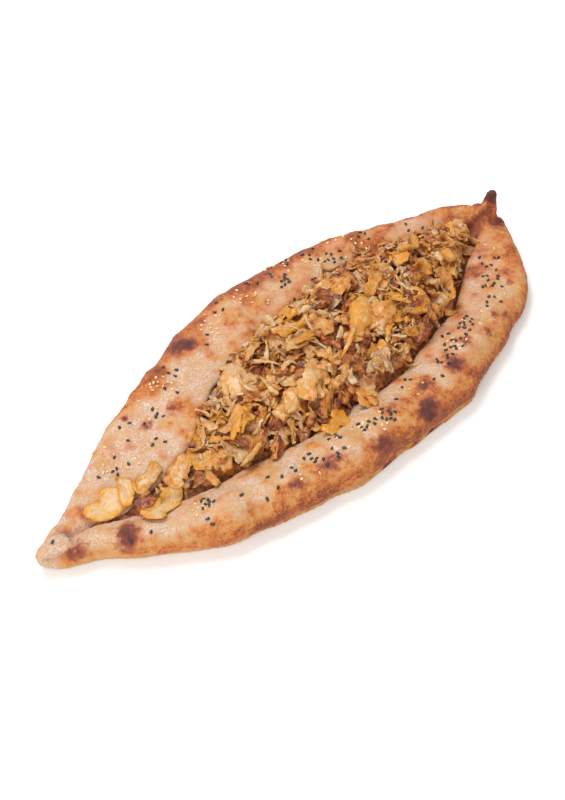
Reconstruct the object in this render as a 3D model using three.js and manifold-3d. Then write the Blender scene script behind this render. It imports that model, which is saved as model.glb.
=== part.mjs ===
// A Turkish pide: a boat of baked flatbread whose long edges are folded in over the filling.
// +X runs from the flat pinched tip to the upturned one, +Y from the plump rim to the broad flap,
// and the dough rests on z = 0. All lengths are in millimetres.
import * as THREE from "three";
import { mergeVertices } from "three/addons/utils/BufferGeometryUtils.js";
import Module from "manifold-3d";

// ---------- Driving dimensions ----------
const HALF_LENGTH = 208; // from the middle to either tip
const TIP_ROUNDING = 13; // length over which each end of the boat closes
const FLOOR_THICKNESS = 5; // dough under the filling
const SMALLEST_SLIT = 2.6; // width of the crease where the two lips meet
const SLIT_STARTS = [-178, -148]; // the well opens out between these x, near the flat tip
const SLIT_ENDS = [168, 190]; // and closes again between these
const GAP = 0.4; // clearance between neighbouring pieces
// A rim's section: how round its outer edge is (a share of its height, and at most a share of its width), its
// least width, the rounding of its lip and how far the well's wall reaches in at its foot.
const RIM = { roundness: 0.52, widest: 0.3, leastWidth: 3, lipRounding: 1.6, footReach: 4 };
const HEAP_MARGIN = 2; // between the heap's core and the lips
const HEAP_EDGE = 12; // height of the core's foot
const BURIED = 1.5; // how far the sauce is drawn into the dough before it is trimmed

// Plan of the boat, as [x, y] along each edge. Left is +Y, the broad flap.
const OUTER_LEFT = [[-208, 8], [-193, 14.5], [-178, 21], [-138, 43], [-90, 64], [-40, 81], [12, 88],
  [61, 84], [100, 75], [140, 60], [171, 44], [190, 27], [208, 14]];
const OUTER_RIGHT = [[-208, -1], [-197, -8.5], [-188, -14], [-176, -22], [-154, -41], [-113, -64],
  [-64, -79], [0, -87], [50, -88], [96, -81], [130, -70], [161, -56], [183, -37], [194, -21], [200, -10],
  [208, 1]];
const LIP_LEFT = [[-208, 5], [-186, 3.4], [-175, 2.6], [-161, -2], [-147, -6], [-131, -6], [-114, -2],
  [-84, 8], [-59, 23], [-37, 33], [-13, 39], [20, 43], [60, 45], [100, 42], [140, 33], [165, 23], [190, 11],
  [208, 8]];
const LIP_RIGHT = [[-208, 3], [-186, 2], [-175, 1.2], [-163, -4.5], [-150, -11.5], [-134, -19], [-114, -27],
  [-86, -32], [-57, -39], [-27, -44], [4, -46], [36, -48], [62, -44], [90, -37], [117, -30], [147, -13],
  [166, -3], [190, 7], [208, 7]];

// Heights along the boat, as [x, z].
const CREST_LEFT = [[-208, 13], [-178, 12], [-138, 13], [-90, 14], [10, 17], [100, 17], [140, 18],
  [171, 21], [190, 24], [208, 23]];
const CREST_RIGHT = [[-208, 12], [-178, 17], [-154, 20], [-88, 22], [0, 23], [96, 21], [161, 19],
  [208, 18]];
const LIP_HEIGHT_LEFT = [[-208, 12], [-138, 12], [-60, 14], [60, 15], [171, 16], [208, 17]];
const LIP_HEIGHT_RIGHT = [[-208, 12], [-170, 13], [-88, 15], [20, 16], [120, 15], [171, 16], [208, 17]];
const SAUCE_TOP = [[-180, 9], [-100, 9.5], [0, 10], [120, 9.5], [178, 11]];
const HEAP_TOP = [[-114, 11], [-100, 16], [-72, 22], [-30, 27], [20, 30], [70, 30], [112, 28], [145, 23],
  [165, 17], [178, 12]];

// Slow waves of the hand-shaped dough: [height, wavelength, phase].
const CREST_WAVES_LEFT = [[0.9, 88, 0.4], [0.6, 37, 2.1], [0.35, 19, 0.9]];
const CREST_WAVES_RIGHT = [[1.1, 96, 1.8], [0.7, 41, 0.2], [0.4, 21, 2.6]];
const EDGE_WAVES_LEFT = [[1.1, 103, 2.2], [0.6, 43, 0.5], [0.3, 24, 1.1]];
const EDGE_WAVES_RIGHT = [[1.3, 91, 0.3], [0.8, 47, 1.9], [0.4, 26, 0.7]];
const LIP_WAVES = [[1.0, 67, 1.2], [0.7, 29, 0.1]];

const RIMS = {
  left: { outer: OUTER_LEFT, edgeWaves: EDGE_WAVES_LEFT, crest: CREST_LEFT, crestWaves: CREST_WAVES_LEFT,
    lipHeight: LIP_HEIGHT_LEFT },
  right: { outer: OUTER_RIGHT, edgeWaves: EDGE_WAVES_RIGHT, crest: CREST_RIGHT, crestWaves: CREST_WAVES_RIGHT,
    lipHeight: LIP_HEIGHT_RIGHT },
};

const DOUGH_STATIONS = 50;
const SAUCE_STATIONS = 20;
const CORE_STATIONS = 21;
const SEEDS_MODELLED = 66;

// The turned-over end at the flat tip.
const TONGUE = { centre: [-196.6, 1.6, 10.8], radii: [12, 7.8, 5.6], yaw: -0.12 };
// The pinched, upturned end: [x, y, z, half-length along the rim, half-width].
const HORN = [[186, 17, 9, 21, 8.5], [190, 14, 16.5, 14.5, 6.8], [193.5, 11.5, 22.5, 9.5, 5.5],
  [195.2, 10, 28, 6.4, 4.7], [195.8, 9.4, 34, 4.7, 3.5], [196.2, 9.2, 39, 3.5, 2.8],
  [196.5, 9, 42.6, 1.6, 1.4]];
const HORN_YAW = 2.36; // the long side of its foot follows the left rim

// Clusters of black seeds on the rims: [x, y, seeds in the cluster, spread].
const SEED_CLUSTERS = [[-71, 52, 6, 9], [-87, 38, 4, 5], [-110, 38, 4, 7], [-101, 22, 3, 6],
  [-130, 24, 2, 4], [-142, 19, 4, 6], [-30, 62, 2, 6], [-5, 76, 3, 4], [44, 67, 9, 6], [45, 52, 2, 7],
  [79, 66, 4, 5], [84, 55, 9, 7], [113, 50, 5, 8], [148, 38, 3, 5], [161, -24, 7, 7], [146, -36, 10, 6],
  [132, -48, 5, 5], [110, -48, 3, 4], [101, -53, 8, 4], [85, -54, 11, 7], [70, -60, 8, 5], [54, -71, 2, 4],
  [42, -59, 2, 4], [27, -61, 2, 5], [6, -69, 10, 4], [-7, -65, 7, 4], [-26, -58, 4, 5], [-38, -68, 6, 6],
  [-54, -58, 7, 6], [-80, -57, 3, 6], [-91, -55, 2, 6], [-117, -40, 8, 4], [-126, -46, 2, 8]];
const SEED = { length: 3.4, width: 2.0, height: 1.4 };

// Shavings that stand out of the heap. x and y are its middle, lift its height over the core; curl, cup and twist
// are angles in radians, curl over the whole length, and a negative curl turns the ends down.
const shaving = (x, y, lift, length, width, curl, yaw, pitch = 0, roll = 0, cup = 0, twist = 0) =>
  ({ x, y, lift, length, width, curl, yaw, pitch, roll, cup, twist });
const HERO_SHAVINGS = [
  shaving(-40, 16, 4, 34, 20, -1.5, 0.9, 0.1, 0.1, 0.3, 0.2),
  shaving(-86, -4, 3, 19, 10, -1.3, 1.0, 0, 0.2, 0.3, 0),
  shaving(-68, -16, 4, 26, 9, -0.9, 0.3, 0, -0.2, 0.3, 0.5),
  shaving(-81, -25, 4, 25, 15, 0.8, 1.9, -0.2, 0.1, 0.2, 0.3),
  shaving(-60, -28, 5, 27, 11, -1.0, 0.6, 0.3, 0.4, 0.2, 0.2),
  shaving(-49, -36, 4, 32, 9, 0.6, 0.4, 0.1, 0.5, 0.2, 0.4),
  shaving(-95, -18, 3, 30, 12, 0.5, -0.7, 0.2, 0.1, 0.2, 0.3),
  shaving(41, 18, 5, 24, 12, -3.4, 1.6, 0.2, 0, 0, 0.2),
  shaving(26, -18, 6, 36, 4, -1.6, 0.4, 0.1, 0.2, 0, 0.5),
  shaving(21, 5, 5, 30, 12, 0.7, 1.2, 0.2, -0.3, 0.2, 0.4),
  shaving(44, -10, 5, 44, 17, -0.7, 0.5, 0, 0.1, 0.3, 0.3),
  shaving(-18, -50, 4, 26, 15, -0.9, 0.4, 0.1, 0.25, 0.3, 0.2),
  shaving(12, -46, 4, 25, 12, -1.2, 1.3, 0.3, 0.2, 0.3, 0.2),
  shaving(60, -20, 5, 28, 16, -0.9, 0.2, -0.1, 0.2, 0.3, 0.3),
  shaving(83, -18, 7, 30, 11, 1.6, 1.7, 0.3, 0.3, 0.2, 0.7),
  shaving(93, -24, 6, 27, 13, -1.4, 1.1, -0.2, 0.4, 0.2, 0.4),
  shaving(97, -40, 7, 46, 9, 4.1, 0.7, 0.1, 0.3, 0, 0.3),
  shaving(136, -14, 6, 38, 7, 4.6, 1.2, 0.4, 0.3, 0, 0.3),
  shaving(140, 9, 4, 28, 10, 1.1, 2.0, 0.2, -0.2, 0.2, 0.4),
  shaving(109, 17, 5, 24, 13, -1.7, 0.8, 0.1, -0.3, 0.2, 0.3),
  shaving(77, 9, 5, 33, 14, -1.6, 0.5, 0, 0.1, 0.3, 0.3),
  shaving(3, 3, 6, 27, 13, -0.8, -0.2, 0.2, 0.1, 0.3, 0.3),
  shaving(10, 18, 4, 36, 11, 0.5, -0.4, 0.1, 0, 0.2, 0.5),
  shaving(22, 34, 5, 30, 13, -1.2, 0.7, 0.1, -0.3, 0.3, 0.2),
  shaving(54, 25, 6, 26, 14, 1.2, 1.5, 0.3, -0.2, 0.2, 0.3),
  shaving(112, 1, 6, 31, 10, -2.0, 1.2, 0.2, 0, 0.2, 0.4),
  shaving(117, -22, 6, 32, 10, 2.6, 0.3, 0.2, 0.3, 0.1, 0.6),
  shaving(150, 14, 4, 24, 9, 1.4, 0.2, 0.1, -0.3, 0.2, 0.3),
  shaving(50, -36, 5, 24, 14, 0.9, 1.4, 0.3, 0.3, 0.2, 0.2),
  shaving(-13, -21, 5, 34, 13, -0.5, 0.5, 0, 0.1, 0.2, 0.3),
  shaving(-33, -24, 5, 32, 12, -0.6, 0.2, 0.1, 0.2, 0.2, 0.3),
  shaving(-12, -36, 4, 30, 11, -0.6, 0.5, 0, 0.3, 0.2, 0.3),
  shaving(-40, -6, 5, 30, 9, 1.0, 1.1, 0.1, 0.1, 0.2, 0.5),
  shaving(5, -34, 5, 28, 12, -0.7, 0.9, 0.1, 0.3, 0.2, 0.2),
];
const FILL_SHAVINGS = 34;
const FILL_LENGTHS = [17, 30];
const FILL_WIDTHS = [8, 14];
const SHAVING_THICKNESS = 2;
const RAGGEDNESS = 0.24; // how much a shaving's width varies

// Pieces that lie apart on the boat's narrow end, each [name, shaving]: their lift is over the dough or sauce.
const LOOSE_PIECES = [
  ["onion_flake_tip", shaving(-157, 4, 2.6, 27, 15, -0.8, 0.1, 0.0, 0.12, 0.2, 0.1)],
  ["onion_flake_fold", shaving(-142, 4, 4.2, 25, 11, -0.7, 1.15, 0.15, 0.1, 0.25, 0.1)],
  ["onion_flake_slit", shaving(-133, -21, 4.0, 32, 16, -0.5, 0.25, 0.0, 0.1, 0.2, 0.1)],
  ["shaving_slit_low", shaving(-127, 1, 3.8, 26, 12, -0.8, 0.35, 0.0, -0.1, 0.25, 0.1)],
  ["shaving_slit_high", shaving(-113, -11, 6.8, 25, 15, -1.0, 0.4, 0.0, 0.15, 0.3, 0.1)],
];
const MEAT_LUMP = { centre: [-140, -11.5, 12.5], radii: [8.5, 6.2, 6], yaw: 0.5 };

// ---------- Small helpers ----------
const mix = (a, b, share) => a + (b - a) * share;
const smooth = (low, high, value) => THREE.MathUtils.smoothstep(value, low, high);
const waves = (list, x) =>
  list.reduce((sum, [height, length, phase]) => sum + height * Math.sin((2 * Math.PI * x) / length + phase), 0);

// A curve through [x, value] points, read at x: a cubic with the slope of each point's two neighbours.
function along(points, x) {
  const last = points.length - 1;
  const at = THREE.MathUtils.clamp(x, points[0][0], points[last][0]);
  let i = 0;
  while (i < last - 1 && at > points[i + 1][0]) i++;
  const slope = (k) => {
    const [before, after] = [points[Math.max(k - 1, 0)], points[Math.min(k + 1, last)]];
    return (after[1] - before[1]) / (after[0] - before[0]);
  };
  const [[x0, v0], [x1, v1]] = [points[i], points[i + 1]];
  const [span, t] = [x1 - x0, (at - x0) / (x1 - x0)];
  const [t2, t3] = [t * t, t * t * t];
  return (2 * t3 - 3 * t2 + 1) * v0 + (t3 - 2 * t2 + t) * span * slope(i)
    + (3 * t2 - 2 * t3) * v1 + (t3 - t2) * span * slope(i + 1);
}

// Repeatable random numbers from 0 to 1.
function randomSource(seed) {
  let state = seed >>> 0;
  return () => {
    state = (Math.imul(state, 1664525) + 1013904223) >>> 0;
    return state / 4294967296;
  };
}

const wasm = await Module();
wasm.setup();

// The same surface with each corner held once, by position alone.
function welded(geometry) {
  const bare = geometry.clone();
  bare.deleteAttribute("normal");
  bare.deleteAttribute("uv");
  return mergeVertices(bare, 1e-4);
}

// A closed surface, set where the matrix puts it, as a solid for joining and cutting.
function solidOf(geometry, matrix = new THREE.Matrix4()) {
  const closed = welded(geometry).applyMatrix4(matrix);
  return new wasm.Manifold(new wasm.Mesh({
    numProp: 3, vertProperties: closed.attributes.position.array, triVerts: new Uint32Array(closed.index.array),
  }));
}

function geometryOf(solid) {
  const { numProp, vertProperties, triVerts } = solid.getMesh();
  const stored = new THREE.InterleavedBuffer(vertProperties, numProp);
  const geometry = new THREE.BufferGeometry()
    .setAttribute("position", new THREE.InterleavedBufferAttribute(stored, 3, 0))
    .setIndex(new THREE.BufferAttribute(triVerts, 1));
  geometry.computeVertexNormals();
  return geometry;
}

// The surface through a row of closed loops with equal numbers of points, its two ends capped. Seen from the
// first loop towards the last, the loops run clockwise.
function loftGeometry(loops) {
  const size = loops[0].length;
  const points = loops.flat();
  const triangles = [];
  for (let i = 0; i + 1 < loops.length; i++)
    for (let j = 0; j < size; j++) {
      const [a, b] = [i * size + j, i * size + ((j + 1) % size)];
      triangles.push(a, a + size, b, b, a + size, b + size);
    }
  [0, loops.length - 1].forEach((end) => {
    const middle = [0, 1, 2].map((axis) => loops[end].reduce((sum, point) => sum + point[axis], 0) / size);
    const [hub, first] = [points.push(middle) - 1, end * size];
    for (let j = 0; j < size; j++) {
      const [a, b] = [first + j, first + ((j + 1) % size)];
      triangles.push(...(end === 0 ? [a, b, hub] : [b, a, hub]));
    }
  });
  return new THREE.BufferGeometry()
    .setAttribute("position", new THREE.Float32BufferAttribute(points.flat(), 3))
    .setIndex(triangles);
}

const ellipsoid = (radii, matrix, around = 12, rings = 8) =>
  solidOf(new THREE.SphereGeometry(1, around, rings).scale(...radii), matrix);

const placement = (centre, yaw = 0, pitch = 0, roll = 0) =>
  new THREE.Matrix4().makeRotationFromEuler(new THREE.Euler(roll, pitch, yaw, "ZYX"))
    .setPosition(new THREE.Vector3(...centre));

// The solid with a clearance round it, from copies of it shifted each way.
const SHIFTS = [[0, 0, GAP], [0, 0, -GAP], [GAP, 0, 0], [-GAP, 0, 0], [0, GAP, 0], [0, -GAP, 0]];
const withClearance = (solid) => SHIFTS
  .reduce((whole, shift) => whole.add(solid.translate(shift)), solid);

const largestBody = (solid) => solid.decompose().sort((a, b) => b.volume() - a.volume())[0];

// The x of each section, closer together towards the tips.
const stationsBetween = (first, last, count) => Array.from({ length: count }, (_, i) =>
  mix(first, last, (1 - Math.cos((Math.PI * i) / (count - 1))) / 2));

// ---------- Dough ----------
// How far the well is open at x: 0 at the tips, 1 along the filling.
const openness = (x) => smooth(...SLIT_STARTS, x) * (1 - smooth(...SLIT_ENDS, x));

// 1 along the boat, falling to 0 as a round end at the tips.
function endRounding(x) {
  const past = Math.max(Math.abs(x) - (HALF_LENGTH - TIP_ROUNDING), 0) / TIP_ROUNDING;
  return Math.sqrt(Math.max(1 - past * past, 0.012));
}

// The lips' y at x. They stay a crease apart where they meet.
function lips(x) {
  const wave = waves(LIP_WAVES, x) * openness(x);
  const [left, right] = [along(LIP_LEFT, x) + wave, along(LIP_RIGHT, x) + 0.6 * wave];
  const short = Math.max(SMALLEST_SLIT - (left - right), 0) / 2;
  return { left: left + short, right: right - short };
}

// One rim's outline at x as [y, z], from under the dough, round its outer edge and over to the well's floor.
function rimOutline(x, isLeft) {
  const side = isLeft ? 1 : -1;
  const both = lips(x);
  const middle = (both.left + both.right) / 2;
  const lip = isLeft ? both.left : both.right;
  const rim = isLeft ? RIMS.left : RIMS.right;
  const outer = along(rim.outer, x) + waves(rim.edgeWaves, x);
  const crest = along(rim.crest, x) + waves(rim.crestWaves, x);
  const lipHeight = along(rim.lipHeight, x);
  const open = openness(x);
  const width = Math.max(Math.abs(outer - lip), RIM.leastWidth);
  const round = Math.min(RIM.roundness * crest, RIM.widest * width);
  const floor = mix(lipHeight - RIM.lipRounding, FLOOR_THICKNESS, open);
  const reach = Math.min(RIM.footReach, RIM.widest * Math.abs(lip - middle));
  // [distance in from the outer edge, height]
  const outline = [
    [1.1 * round, 0], [0.3 * round, 0.14 * crest], [0, 0.44 * crest], [0.24 * round, 0.76 * crest],
    [0.9 * round, 0.97 * crest], [1.6 * round, crest],
    [mix(1.6 * round, width, 0.5), mix(crest, lipHeight, 0.5)],
    [width - RIM.lipRounding, lipHeight], [width, lipHeight - 0.94 * RIM.lipRounding],
    [width + 0.4 * reach, floor + 0.3], [width + reach, floor],
  ];
  return outline.map(([inward, z]) => [outer - side * inward, z]);
}

// The whole section at x as a closed loop of [y, z], grown outwards by a clearance if one is given.
function doughSection(x, clearance = 0) {
  const shrink = endRounding(x);
  const loop = [...rimOutline(x, false), ...rimOutline(x, true).reverse()];
  const centreY = (along(OUTER_LEFT, x) + along(OUTER_RIGHT, x)) / 2;
  const centreZ = 0.42 * Math.max(...loop.map(([, z]) => z));
  const rounded = loop.map(([y, z]) => [mix(centreY, y, shrink), mix(centreZ, z, shrink)]);
  if (!clearance) return rounded;
  return rounded.map(([y, z], i) => {
    const [before, after] = [rounded.at(i - 1), rounded[(i + 1) % rounded.length]];
    const [alongY, alongZ] = [after[0] - before[0], after[1] - before[1]];
    const length = Math.hypot(alongY, alongZ) || 1;
    return [y - (clearance * alongZ) / length, z + (clearance * alongY) / length];
  });
}

const doughHull = (clearance = 0) => solidOf(loftGeometry(
  stationsBetween(-HALF_LENGTH, HALF_LENGTH, DOUGH_STATIONS)
    .map((x) => doughSection(x, clearance).map(([y, z]) => [x, y, z]))));

// The height of the rim's top at x, y, by the top stretch of its outline.
function rimTop(x, y) {
  const { left, right } = lips(x);
  const top = rimOutline(x, y > (left + right) / 2).slice(3, 9);
  for (let i = 0; i + 1 < top.length; i++) {
    const share = (y - top[i][0]) / (top[i + 1][0] - top[i][0]);
    if (share >= 0 && share <= 1) return mix(top[i][1], top[i + 1][1], share);
  }
  return null;
}

const tongue = () => ellipsoid(TONGUE.radii, placement(TONGUE.centre, TONGUE.yaw), 14, 9);

function horn(clearance = 0) {
  const foot = new THREE.EllipseCurve(0, 0, 1, 1, 0, 2 * Math.PI, true).getPoints(12).slice(0, -1);
  return solidOf(loftGeometry(HORN.map(([x, y, z, long, wide]) => foot.map((corner) => {
    const across = new THREE.Vector2(corner.x * (long + clearance), corner.y * (wide + clearance));
    across.rotateAround(new THREE.Vector2(), HORN_YAW);
    return [x + across.x, y + across.y, z];
  }))));
}

// Black seeds, sunk a little into the rims and kept clear of everything in keepOff.
function seeds(shell, keepOff) {
  const random = randomSource(20);
  const wanted = SEED_CLUSTERS.reduce((sum, cluster) => sum + cluster[2], 0);
  const made = [];
  let owed = 0;
  for (const [cx, cy, count, spread] of SEED_CLUSTERS)
    for (let i = 0; i < count; i++) {
      const [angle, reach, turn] = [2 * Math.PI * random(), spread * Math.sqrt(random()), Math.PI * random()];
      owed += SEEDS_MODELLED / wanted;
      if (owed < 1) continue;
      const [x, y] = [cx + reach * Math.cos(angle), cy + reach * Math.sin(angle)];
      const z = rimTop(x, y);
      if (z === null) continue;
      const step = 1.5;
      const [slopeX, slopeY] = [[step, 0], [0, step]]
        .map(([dx, dy]) => ((rimTop(x + dx, y + dy) ?? z) - z) / step);
      const tilt = new THREE.Quaternion().setFromUnitVectors(
        new THREE.Vector3(0, 0, 1), new THREE.Vector3(-slopeX, -slopeY, 1).normalize());
      const turned = new THREE.Matrix4().makeRotationFromQuaternion(tilt)
        .multiply(new THREE.Matrix4().makeRotationZ(turn));
      const lying = (bigger, drop) => ellipsoid(
        [SEED.length / 2 + bigger, SEED.width / 2 + bigger, SEED.height / 2 + bigger],
        turned.clone().setPosition(x, y, z + 0.2 * SEED.height - drop), 5, 4);
      const around = lying(1, 0);
      if (keepOff.concat(made).some((solid) => solid.intersect(around).volume() > 0)) continue;
      const drops = [0, 0.2, 0.4, 0.6, 0.8, 1.0, 1.2];
      const deepEnough = (drop) => shell.intersect(lying(0, drop)).volume() > 0.25 * lying(0, drop).volume();
      const seed = lying(0, drops.find(deepEnough) ?? drops.at(-1));
      made.push(seed);
      owed -= 1;
    }
  return made;
}

// ---------- Filling ----------
// The thin layer of sauce and mince on the well's floor, as a slab that the dough then trims.
function sauceSlab() {
  const loops = stationsBetween(SAUCE_TOP[0][0], SAUCE_TOP.at(-1)[0], SAUCE_STATIONS).map((x) => {
    const { left, right } = lips(x);
    const top = along(SAUCE_TOP, x);
    const across = 6;
    const row = Array.from({ length: across + 1 }, (_, i) => {
      const y = mix(right - BURIED, left + BURIED, i / across);
      return [x, y, top + 0.5 * Math.sin(0.31 * x + 0.23 * y) * Math.sin(0.19 * y + 1)];
    });
    return [...row, [x, left + BURIED, FLOOR_THICKNESS - 2], [x, right - BURIED, FLOOR_THICKNESS - 2]];
  });
  return solidOf(loftGeometry(loops));
}

// The height of the heap's core at x, y, over its own outline.
function coreTop(x, y) {
  const { left, right } = lips(x);
  const across = THREE.MathUtils.clamp((2 * y - left - right) / (left - right - 2 * HEAP_MARGIN), -1, 1);
  const crest = along(HEAP_TOP, x);
  const bumps = 1.3 * Math.sin(0.27 * x + 0.4) * Math.sin(0.33 * y + 0.9) + 0.8 * Math.sin(0.5 * x - 0.41 * y);
  return mix(Math.min(HEAP_EDGE, crest), crest, Math.sqrt(Math.max(1 - Math.abs(across) ** 2.6, 0))) + bumps;
}

function heapCore() {
  const loops = stationsBetween(HEAP_TOP[0][0], HEAP_TOP.at(-1)[0], CORE_STATIONS).map((x) => {
    const { left, right } = lips(x);
    const [low, high] = [right + HEAP_MARGIN, left - HEAP_MARGIN];
    const across = 8;
    const row = Array.from({ length: across + 1 }, (_, i) => {
      const y = mix(low, high, (1 - Math.cos((Math.PI * i) / across)) / 2);
      return [x, y, coreTop(x, y)];
    });
    return [...row, [x, high, FLOOR_THICKNESS + 2], [x, low, FLOOR_THICKNESS + 2]];
  });
  return solidOf(loftGeometry(loops));
}

// One curled shaving: a thin plate that narrows to its ends, bent along its length, cupped across and twisted.
function shavingSolid(s, z, steps, rows, random) {
  const plate = welded(new THREE.BoxGeometry(2, 2, SHAVING_THICKNESS, steps, rows, 1));
  const corners = plate.attributes.position;
  const corner = new THREE.Vector3();
  const lengthwise = new THREE.Vector3(1, 0, 0);
  for (let i = 0; i < corners.count; i++) {
    const [u, v, outward] = corner.fromBufferAttribute(corners, i).toArray();
    const narrowing = 0.4 + 0.6 * Math.sqrt(Math.max(1 - u * u, 0));
    const half = 0.5 * s.width * narrowing * (1 + RAGGEDNESS * (random() - 0.5));
    const bend = (u * s.curl) / 2;
    const radius = s.length / (s.curl || 1e-4);
    const rise = radius * (1 - Math.cos(bend)) + s.cup * half * v * v;
    corner.set(radius * Math.sin(bend) - outward * Math.sin(bend), v * half + 0.12 * s.curl * u * s.width,
      rise + outward * Math.cos(bend));
    corner.applyAxisAngle(lengthwise, s.twist * u);
    corners.setXYZ(i, ...corner.toArray());
  }
  return solidOf(plate, placement([s.x, s.y, z], s.yaw, s.pitch, s.roll));
}

// The shavings scattered over the whole core between the named ones, lying with its slope.
function fillShavings(random) {
  return Array.from({ length: FILL_SHAVINGS }, (_, i) => {
    const x = mix(-96, 160, (i + random()) / FILL_SHAVINGS);
    const { left, right } = lips(x);
    const y = mix(right, left, mix(0.02, 0.98, (i * 0.618034) % 1));
    const slope = (coreTop(x, y + 2) - coreTop(x, y - 2)) / 4;
    return shaving(x, y, mix(1.5, 3.5, random()), mix(...FILL_LENGTHS, random()), mix(...FILL_WIDTHS, random()),
      mix(-1.6, 1.4, random()), Math.PI * random(), mix(-0.3, 0.3, random()), Math.atan(slope) * 0.6,
      mix(0.05, 0.3, random()), mix(-0.5, 0.5, random()));
  });
}

function heap(trims) {
  const random = randomSource(7);
  const pieces = [...HERO_SHAVINGS, ...fillShavings(random)].map((s) => {
    const steps = Math.abs(s.curl) > 2.5 ? 8 : s.length > 28 ? 4 : 3;
    return shavingSolid(s, coreTop(s.x, s.y) + s.lift, steps, 1, random);
  });
  const whole = pieces.reduce((sum, piece) => sum.add(piece), heapCore());
  return largestBody(trims.reduce((left, trim) => left.subtract(trim), whole).simplify(0.08));
}

// ---------- Assembly ----------
const MATERIALS = {
  crust: new THREE.MeshStandardMaterial({ color: 0xd9a06b, roughness: 0.8, metalness: 0 }),
  sauce: new THREE.MeshStandardMaterial({ color: 0x7d4325, roughness: 0.45, metalness: 0 }),
  shavings: new THREE.MeshStandardMaterial({ color: 0xcf9a52, roughness: 0.6, metalness: 0 }),
  onion: new THREE.MeshStandardMaterial({ color: 0xddb45f, roughness: 0.4, metalness: 0 }),
  meat: new THREE.MeshStandardMaterial({ color: 0x9b5c34, roughness: 0.55, metalness: 0 }),
};

function meshOf(name, solid, material) {
  const mesh = new THREE.Mesh(geometryOf(solid), material);
  mesh.name = name;
  return mesh;
}

const root = new THREE.Group();
root.name = "turkish_pide";

const shell = doughHull().add(tongue()).add(horn());
const shellWithClearance = doughHull(GAP).add(horn(GAP));
const sauce = largestBody(sauceSlab().subtract(shellWithClearance));
const fillingTrims = [shellWithClearance, withClearance(sauce)];
const lump = largestBody(fillingTrims.reduce((left, trim) => left.subtract(trim),
  ellipsoid(MEAT_LUMP.radii, placement(MEAT_LUMP.centre, MEAT_LUMP.yaw), 9, 6)));
const lumpWithClearance = ellipsoid(
  MEAT_LUMP.radii.map((radius) => radius + GAP), placement(MEAT_LUMP.centre, MEAT_LUMP.yaw), 10, 7);

// Each loose piece lies on the rim, or on the sauce between the lips, and is trimmed by what is already there.
const looseTrims = [...fillingTrims, lumpWithClearance];
const looseRandom = randomSource(3);
const loosePieces = LOOSE_PIECES.map(([name, s]) => {
  const z = (rimTop(s.x, s.y) ?? along(LIP_HEIGHT_RIGHT, s.x)) + s.lift;
  const piece = shavingSolid(s, z, 4, 2, looseRandom);
  const body = largestBody(looseTrims.reduce((left, trim) => left.subtract(trim), piece).simplify(0.08));
  looseTrims.push(withClearance(piece));
  return [name, body];
});
const shavings = heap(looseTrims);

const crust = seeds(shell, [shavings, ...loosePieces.map(([, body]) => body)])
  .reduce((whole, seed) => whole.add(seed), shell);

const filling = new THREE.Group();
filling.name = "filling";
filling.add(meshOf("sauce_layer", sauce, MATERIALS.sauce));
filling.add(meshOf("shavings_heap", shavings, MATERIALS.shavings));
filling.add(meshOf("meat_lump", lump, MATERIALS.meat));
loosePieces.forEach(([name, body]) =>
  filling.add(meshOf(name, body, name.startsWith("onion") ? MATERIALS.onion : MATERIALS.shavings)));

root.add(meshOf("dough_crust", crust, MATERIALS.crust), filling);

export default root;
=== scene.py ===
"""A Turkish pide, dressed: browned dough with blisters and seeds, mince sauce and a heap of curled shavings.

Sizes are in millimetres in this script and become metres when a mesh is made. +X runs along the boat towards
its upturned tip and +Y towards the broad flap, as in the CAD part.
"""
import math

import bpy
import numpy as np
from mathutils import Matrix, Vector, noise
from mathutils.bvhtree import BVHTree


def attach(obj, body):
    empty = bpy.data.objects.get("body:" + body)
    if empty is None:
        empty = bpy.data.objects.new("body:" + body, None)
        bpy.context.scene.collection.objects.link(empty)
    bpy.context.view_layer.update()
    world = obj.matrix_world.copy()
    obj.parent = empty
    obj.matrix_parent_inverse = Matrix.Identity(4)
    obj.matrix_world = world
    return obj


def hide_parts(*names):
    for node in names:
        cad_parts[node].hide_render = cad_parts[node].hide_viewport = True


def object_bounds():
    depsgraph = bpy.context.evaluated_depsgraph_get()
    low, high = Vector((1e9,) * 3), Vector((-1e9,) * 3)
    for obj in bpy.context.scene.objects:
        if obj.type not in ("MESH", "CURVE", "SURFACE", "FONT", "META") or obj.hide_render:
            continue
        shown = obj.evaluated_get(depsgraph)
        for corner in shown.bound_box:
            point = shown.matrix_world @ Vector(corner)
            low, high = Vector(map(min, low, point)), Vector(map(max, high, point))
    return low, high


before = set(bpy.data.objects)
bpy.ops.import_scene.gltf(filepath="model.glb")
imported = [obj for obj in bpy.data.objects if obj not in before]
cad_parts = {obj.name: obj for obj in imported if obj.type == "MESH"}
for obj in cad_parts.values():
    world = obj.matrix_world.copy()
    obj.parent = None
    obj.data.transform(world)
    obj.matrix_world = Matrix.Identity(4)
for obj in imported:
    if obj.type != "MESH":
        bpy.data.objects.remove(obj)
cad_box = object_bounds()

MM = 0.001
TAU = 2 * math.pi

# ---------- The boat's driving dimensions, as in the CAD part ----------
HALF_LENGTH = 208
TIP_ROUNDING = 13
FLOOR_THICKNESS = 5
SMALLEST_SLIT = 2.6
SLIT_STARTS = (-178, -148)
SLIT_ENDS = (168, 190)

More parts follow.
